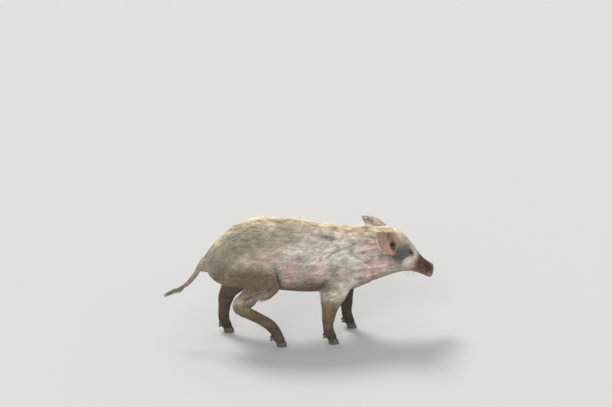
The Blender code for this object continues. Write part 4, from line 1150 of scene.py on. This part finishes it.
def disc_material():
    """Moist bare skin, finely cobbled."""
    paint = Painter("disc")
    marking = paint.attribute("marking", "Color")
    grain = paint.noise(900.0, 4.0)
    cobbles = paint.bump(paint.cells(620.0, 0.15), 0.5, 0.0004)
    return paint.finished({
        "Base Color": paint.mix(paint.spread(grain, 0.4, 0.7, 0.0, 0.5), marking,
                                paint.tint(marking, (0.55, 0.48, 0.48))),
        "Roughness": paint.spread(grain, 0.3, 0.7, 0.26, 0.46),
        "Coat Weight": 0.25,
        "Coat Roughness": 0.2,
        "Subsurface Weight": 0.08,
        "Subsurface Radius": (0.008, 0.003, 0.002),
        "Subsurface Scale": 0.3,
        "Normal": paint.bump(grain, 0.2, 0.0003, cobbles)})


def horn_material():
    """Dull grey-brown horn with pale streaks and dried mud."""
    paint = Painter("horn")
    stretched = paint.noise(160.0, 4.0, (1.0, 1.0, 0.15))
    mud = paint.noise(55.0, 5.0)
    horn = paint.mix(paint.spread(stretched, 0.35, 0.65), (0.050, 0.040, 0.034), (0.16, 0.125, 0.095))
    return paint.finished({
        "Base Color": paint.mix(paint.spread(mud, 0.50, 0.66, 0.0, 0.75), horn, (0.21, 0.165, 0.11)),
        "Roughness": paint.spread(mud, 0.35, 0.65, 0.42, 0.85),
        "Normal": paint.bump(mud, 0.4, 0.0010, paint.bump(stretched, 0.4, 0.0006))})


def solid_object(name, places, faces, material):
    """A smooth piece from points and faces."""
    mesh = bpy.data.meshes.new(name)
    mesh.from_pydata(places, [], faces)
    mesh.shade_smooth()
    return dressed(placed(name, mesh), material)


def skin_object(name, surface, material):
    """A surface as a piece that carries its markings."""
    skin = solid_object(name, surface.places, surface.quads, material)
    keep(skin.data, marking=surface.marking, inner_ear=surface.inner_ear)
    return skin


def between_rings(rings, spokes):
    """The four-sided faces between rings of points."""
    return [(ring + spoke, ring + (spoke + 1) % spokes,
             ring + (spoke + 1) % spokes + spokes, ring + spoke + spokes)
            for ring in range(0, (rings - 1) * spokes, spokes) for spoke in range(spokes)]


def make_eyeball(word, material):
    """A fine eyeball with a slightly domed cornea."""
    polar = np.repeat(math.pi * np.arange(1, EYE_RINGS) / EYE_RINGS, EYE_SPOKES)
    around = np.tile(math.tau * np.arange(EYE_SPOKES) / EYE_SPOKES, EYE_RINGS - 1)
    radius = (EYE_RADIUS - EYE_INSET) * (1.0 + CORNEA_RISE * np.exp(-(polar / 0.45) ** 4))
    polar, around = np.append(polar, (0.0, math.pi)), np.append(around, (0.0, 0.0))
    radius = np.append(radius, (EYE_RADIUS * 1.033, EYE_RADIUS))
    ways = np.stack([np.cos(polar), np.sin(polar) * np.cos(around), np.sin(polar) * np.sin(around)], 1)
    places = ways @ np.array(eye_axes(word)) * radius[:, None] + EYES[word]
    faces = [(a, d, c, b) for a, b, c, d in between_rings(EYE_RINGS - 1, EYE_SPOKES)]
    last = len(places) - 2
    low = last - EYE_SPOKES
    for spoke in range(EYE_SPOKES):
        after = (spoke + 1) % EYE_SPOKES
        faces += [(last, spoke, after), (last + 1, low + after, low + spoke)]
    eye = solid_object("eyeball_" + word, places, faces, material)
    keep(eye.data, from_gaze=polar)
    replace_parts(eye, "eye_" + word)


def make_lids(word, skin_tree, material):
    """Upper and lower lid as one folded rim round the eye, run out under the skin."""
    out, slit, rise = eye_axes(word)
    centre = EYES[word]
    places, darkness = [], []
    for half_long, half_up, half_down, reach, over_skin, dark in LID_RINGS:
        for spoke in range(LID_SPOKES):
            angle = math.tau * spoke / LID_SPOKES
            tall = half_up if math.sin(angle) > 0 else half_down
            corner = 1.0 - 0.25 * abs(math.cos(angle)) ** 6
            offset = slit * half_long * math.cos(angle) + rise * tall * math.sin(angle) * corner
            height = math.sqrt(max((EYE_RADIUS + reach) ** 2 - offset.length_squared, 0.0))
            if over_skin is not None:
                hit = skin_tree.ray_cast(centre + offset + out * 0.03, -out)[0]
                skin_height = (hit - centre - offset).dot(out) + over_skin
                height = max(height, skin_height) if reach else skin_height
            places.append(centre + offset + out * height)
            darkness.append(dark)
    faces = between_rings(len(LID_RINGS), LID_SPOKES)
    lids = solid_object("lids_" + word, places, faces, material)
    points = np.array(places)
    flat = np.zeros(len(points))
    colours = shaded_round_eyes(marking_at(points, flat), points)
    keep(lids.data, marking=blended(colours, LID_SKIN, np.array(darkness)), inner_ear=flat)
    smooth = lids.modifiers.new("smooth", "SUBSURF")
    smooth.levels = smooth.render_levels = 2
    if (places[LID_SPOKES] - centre).dot(lids.data.polygons[LID_SPOKES * 2].normal) < 0:
        lids.data.flip_normals()
    thick = lids.modifiers.new("thickness", "SOLIDIFY")
    thick.thickness = LID_THICKNESS
    thick.offset = -1.0


def scattered(headings, spread, draw):
    """The same directions, each turned a little by chance."""
    return unit(unit(np.array(headings)) + draw.normal(0.0, spread, (len(headings), 3)))


def bent_paths(root, heading, length, bend, stations=5):
    """Stations of single hairs, each bent more and more towards its tip."""
    steps = np.linspace(0.0, 1.0, stations)
    paths = np.array(root)[:, None] + heading[:, None] * (length[:, None] * steps)[:, :, None]
    return paths + (np.array(bend) * length[:, None])[:, None] * (steps ** 2)[:, None]


def make_lashes(word, material, draw):
    """Pale lashes along the upper lid, and a few below."""
    out, slit, rise = (np.array(axis) for axis in eye_axes(word))
    share = draw.uniform(-1.0, 1.0, LASHES)
    upper = draw.random(LASHES) < 0.72
    half_long, half_up, half_down = LID_RINGS[2][:3]
    tall = np.where(upper, half_up, -half_down) * np.sqrt(1.0 - share ** 2 * 0.96)
    offset = slit * (share * half_long * 0.97)[:, None] + rise * tall[:, None]
    height = np.sqrt((EYE_RADIUS + 0.0012) ** 2 - (offset ** 2).sum(1))
    root = np.array(EYES[word]) + offset + out * height[:, None]
    lift = np.where(upper, -0.05, -0.55) + draw.normal(0.0, 0.12, LASHES)
    heading = out + rise * lift[:, None] - slit * (0.35 - 0.3 * share)[:, None]
    heading = unit(heading + draw.normal(0.0, 0.10, (LASHES, 3)))
    length = np.where(upper, 0.0095, 0.005) * draw.uniform(0.7, 1.15, LASHES)
    patches = np.stack([share * 0.45 + 0.5, draw.random(LASHES)], 1) * 0.96 + 0.02
    spike_mesh("lashes_" + word, bent_paths(root, heading, length, (0.0, 0.0, -0.35), 4), rise,
               LASH_WIDTH, HAIR_FLATNESS, LASH_COLOUR, 1.0, patches, material)


def make_disc(material):
    """The muzzle's disc: moist, creased, dark above and pink below."""
    surface = grown_surface(["muzzle_disc"], DISC_VOXEL, 0.0002)
    surface.relax(6)
    normals = surface.normals()
    places = surface.places
    axis, across = np.array(HEAD_AHEAD), np.array(HEAD_ACROSS)
    from_middle = places - DISC_MIDDLE
    ahead = from_middle @ axis
    flat = from_middle - axis * ahead[:, None]
    reach = np.linalg.norm(flat, axis=1)
    rings = np.sin((reach + 0.0016 * noise(places, 0.006, 71)) * math.tau / DISC_RINGS)
    notch = ramp(0.0030, 0.0, np.abs(from_middle @ across)) * ramp(0.012, 0.024, reach)
    rough = layered(places, 0.0045, 73) - 0.5
    move = 0.00022 * rings * ramp(0.010, 0.016, reach) + 0.0006 * rough
    surface.push(normals, ramp(0.3, 0.8, normals @ axis) * move - 0.0011 * notch)
    surface.places -= (axis * 0.0040 + flat * 0.07) * ramp(-0.0005, -0.0030, ahead)[:, None]
    low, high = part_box("muzzle_disc")
    height = from_middle[:, 2] / ((high.z - low.z) / 2) + (layered(places, 0.014, 75) - 0.5) * 0.9
    colours = np.tile(DISC_PINK, (len(places), 1))
    colours = blended(colours, DARK_SKIN, ramp(-0.45, 0.30, height) * 0.92)
    colours = blended(colours, np.array(RUST) * 0.7, ramp(0.0, -0.004, ahead) * 0.6)
    # Painted shade: the nostrils' holes darkened almost to black
    deep = np.maximum(ramp(0.0032, 0.0012, ahead) * (ahead > -0.004), ramp(0.85, 0.45, normals @ axis))
    for side in SIDES:
        nostril = across * NOSTRIL_APART * side + (0.0, 0.0, NOSTRIL_RAISED)
        colours = blended(colours, NOSTRIL_SHADE, ramp(0.0092, 0.0070, gap_to(flat, nostril)) * deep)
    disc = solid_object("disc", surface.places, surface.quads, material)
    keep(disc.data, marking=colours)
    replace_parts(disc, "muzzle_disc")


def make_claws(material):
    """Each claw and dewclaw, rounded, with growth rings."""
    for node in sorted(NODES):
        if not node.startswith(("claw", "dewclaw")):
            continue
        surface = grown_surface([node], CLAW_VOXEL, 0.0)
        surface.relax(3)
        normals = surface.normals()
        x, _, z = surface.places.T
        warp = noise(surface.places, 0.011, 83) * 0.0030
        rings = np.sin((z + 0.22 * x + warp) * math.tau / HORN_RINGS)
        chips = layered(surface.places, 0.007, 85) - 0.5
        surface.push(normals, ramp(0.7, 0.2, np.abs(normals[:, 2])) * (0.00016 * rings + 0.0005 * chips))
        surface.places[:, 2] = np.maximum(surface.places[:, 2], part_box(node)[0].z)
        claw = solid_object("horn_" + node, surface.places, surface.quads, material)
        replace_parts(claw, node)


def make_switch(material, draw):
    """The hair of the tail's end: long thin hairs that leave the tail and trail down."""
    points = np.array([vert.co for vert in NODES["tail_switch"].data.vertices])
    low, high = points[:, 0].min(), points[:, 0].max()
    last = SWITCH_STATIONS - 1
    path = []
    for number in range(SWITCH_STATIONS):
        middle = high + (low - high) * number / last
        near = np.abs(points[:, 0] - middle) < (high - low) / last
        path.append((middle, points[near, 1].mean(), points[near, 2].mean()))
    path = np.array(path)
    start = np.clip(draw.uniform(-0.25, 0.62, SWITCH_HAIRS), 0.0, 0.7)
    share = draw.uniform(0.30, 0.52, SWITCH_HAIRS)
    steps = np.linspace(0.0, 1.0, 6)
    along = np.clip((start[:, None] + share[:, None] * steps) * last, 0, last - 0.001)
    index = along.astype(int)
    part = (along - index)[:, :, None]
    core = path[index] * (1 - part) + path[index + 1] * part
    spread = unit(draw.normal(size=(SWITCH_HAIRS, 3)))
    out = spread * (SWITCH_REACH * (1.0 - 0.4 * start))[:, None]
    fan = 1.0 + draw.uniform(0.0, 2.6, SWITCH_HAIRS)[:, None] * steps ** 1.5
    paths = core + out[:, None] * fan[:, :, None]
    paths[:, :, 2] -= steps ** 2 * SWITCH_SAG * draw.uniform(0.0, 1.0, SWITCH_HAIRS)[:, None]
    colours = np.array(SWITCH_HAIR) * draw.uniform(0.6, 1.3, SWITCH_HAIRS)[:, None]
    patches = np.stack([draw.random(SWITCH_HAIRS), start + 0.1], 1) * 0.94 + 0.02
    hair = spike_mesh("switch_hair", paths, spread, SWITCH_WIDTH, SWITCH_FLATNESS, colours,
                      draw.normal(1.0, 0.12, SWITCH_HAIRS), patches, material)
    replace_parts(hair, "tail_switch")


def make_whiskers(head, material, draw):
    """Long single bristles under the chin and round the lips."""
    tree = head.tree()
    roots, headings, lengths = [], [], []
    for _ in range(CHIN_HAIRS):
        x, y = draw.uniform(0.455, 0.520), draw.normal(0.0, 0.012)
        hit, normal, _, _ = tree.ray_cast(turned(x, y, 0.1), UP)
        if hit is None:
            continue
        roots.append(hit - normal * 0.002)
        headings.append(normal * 0.8 + Vector((-0.35, 0.0, -0.7)))
        lengths.append(draw.uniform(0.018, 0.040))
    for _ in range(LIP_HAIRS):
        x, z = draw.uniform(0.470, 0.560), draw.uniform(0.262, 0.345)
        hit, normal = cheek(tree, x, z, -1 if draw.random() < 0.5 else 1)
        if hit is None:
            continue
        roots.append(hit - normal * 0.0015)
        headings.append(normal * 0.7 - HEAD_AHEAD * 0.45 - UP * 0.35)
        lengths.append(draw.uniform(0.008, 0.018))
    heading = scattered(headings, 0.24, draw)
    paths = bent_paths(roots, heading, np.array(lengths), (0.0, 0.0, -0.22))
    patches = draw.random((len(roots), 2)) * 0.94 + 0.02
    spike_mesh("whiskers", paths, LEFTWARD, WHISKER_WIDTH, HAIR_FLATNESS, np.array(CREAM) * 0.55,
               1.0, patches, material)


def make_ear_hairs(head, material, draw):
    """Long fine hairs that sweep back over the hollow of each ear."""
    tree = head.tree()
    roots, headings = [], []
    for side in SIDES:
        facing = Vector((EAR_FACING[0], EAR_FACING[1] * side, EAR_FACING[2])).normalized()
        for _ in range(EAR_HAIRS):
            share = draw.random() * (len(EAR_TROUGH_LINE) - 1)
            first = int(share)
            low, high = (Vector(EAR_TROUGH_LINE[k]) for k in (first, first + 1))
            x, y, z = low.lerp(high, share - first)
            aim = turned(x + draw.normal(0.005, 0.008), y * side, z + draw.normal(0.0, 0.005))
            hit, normal, _, _ = tree.ray_cast(aim + facing * 0.06, -facing)
            if hit is None or normal.dot(facing) < 0.1:
                continue
            roots.append(hit - normal * 0.001)
            headings.append(normal * 0.55 + Vector((-0.75, 0.25 * side, 0.60)))
    heading = scattered(headings, 0.22, draw)
    paths = bent_paths(roots, heading, draw.uniform(0.008, 0.020, len(roots)), (-0.30, 0.0, 0.0))
    patches = draw.random((len(roots), 2)) * 0.94 + 0.02
    spike_mesh("ear_hairs", paths, LEFTWARD, EAR_HAIR_WIDTH, HAIR_FLATNESS, np.array(CREAM) * 0.8,
               1.0, patches, material)


def make_camera():
    """The viewpoint: a standing person's, looking down at the pig's right side."""
    turn = math.radians(CAMERA_YAW)
    ahead = Vector((math.sin(turn), math.cos(turn), 0.0))
    right = Vector((math.cos(turn), -math.sin(turn), 0.0))
    data = bpy.data.cameras.new("camera")
    data.sensor_width = SENSOR_WIDTH
    data.lens = SENSOR_WIDTH / 2 / math.tan(math.radians(CAMERA_FIELD / 2))
    camera = placed("camera", data)
    camera.location = Vector((SHIFT_X, SHIFT_Y, 0.0)) - ahead * CAMERA_AWAY + right * CAMERA_ASIDE
    camera.location.z = CAMERA_HEIGHT
    camera.rotation_euler = (math.pi / 2 - math.radians(CAMERA_PITCH), 0.0, -turn)
    bpy.context.scene.camera = camera


def make_studio():
    """A plain pale floor and soft light, mostly from above and behind."""
    mesh = bpy.data.meshes.new("floor")
    corners = [(x * FLOOR_REACH, y * FLOOR_REACH, 0.0) for x, y in ((-1, -1), (1, -1), (1, 1), (-1, 1))]
    mesh.from_pydata(corners, [], [(0, 1, 2, 3)])
    mesh.materials.append(Painter("floor").finished({"Base Color": FLOOR_COLOUR, "Roughness": 0.85}))
    placed("floor", mesh)
    bpy.context.scene.view_settings.view_transform = "Standard"
    world = bpy.data.worlds.new("studio")
    world.use_nodes = True
    background = world.node_tree.nodes["Background"]
    background.inputs["Color"].default_value = WORLD_COLOUR
    background.inputs["Strength"].default_value = WORLD_LIGHT
    bpy.context.scene.world = world
    for name, towards, strength, spread, colour in LIGHTS:
        data = bpy.data.lights.new(name, "SUN")
        data.energy = strength
        data.angle = math.radians(spread)
        data.color = colour
        placed(name, data).rotation_euler = Vector(towards).to_track_quat("Z", "Y").to_euler()


make_camera()
make_studio()
skin = skin_material()
body = make_surface(BODY_NODES, BODY_VOXEL, False)
head = make_surface(HEAD_NODES + ["neck"], HEAD_VOXEL, True)
tune_coat(body)
tune_coat(head)
detail_head(head)
colour_surface(body, False)
colour_surface(head, True)
body_skin = skin_object("skin", body, skin)
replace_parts(skin_object("skin_head", head, skin), *HEAD_NODES)
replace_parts(body_skin, *BODY_NODES)
bristle = coat_material()
grow_coat((body, head), bristle)
draw = np.random.default_rng(SEED + 1)
wet_eye = eye_material()
for word in ("right", "left"):
    make_eyeball(word, wet_eye)
    make_lids(word, head.lid_tree, skin)
    make_lashes(word, bristle, draw)
make_disc(disc_material())
make_claws(horn_material())
make_switch(bristle, draw)
make_whiskers(head, bristle, draw)
make_ear_hairs(head, bristle, draw)
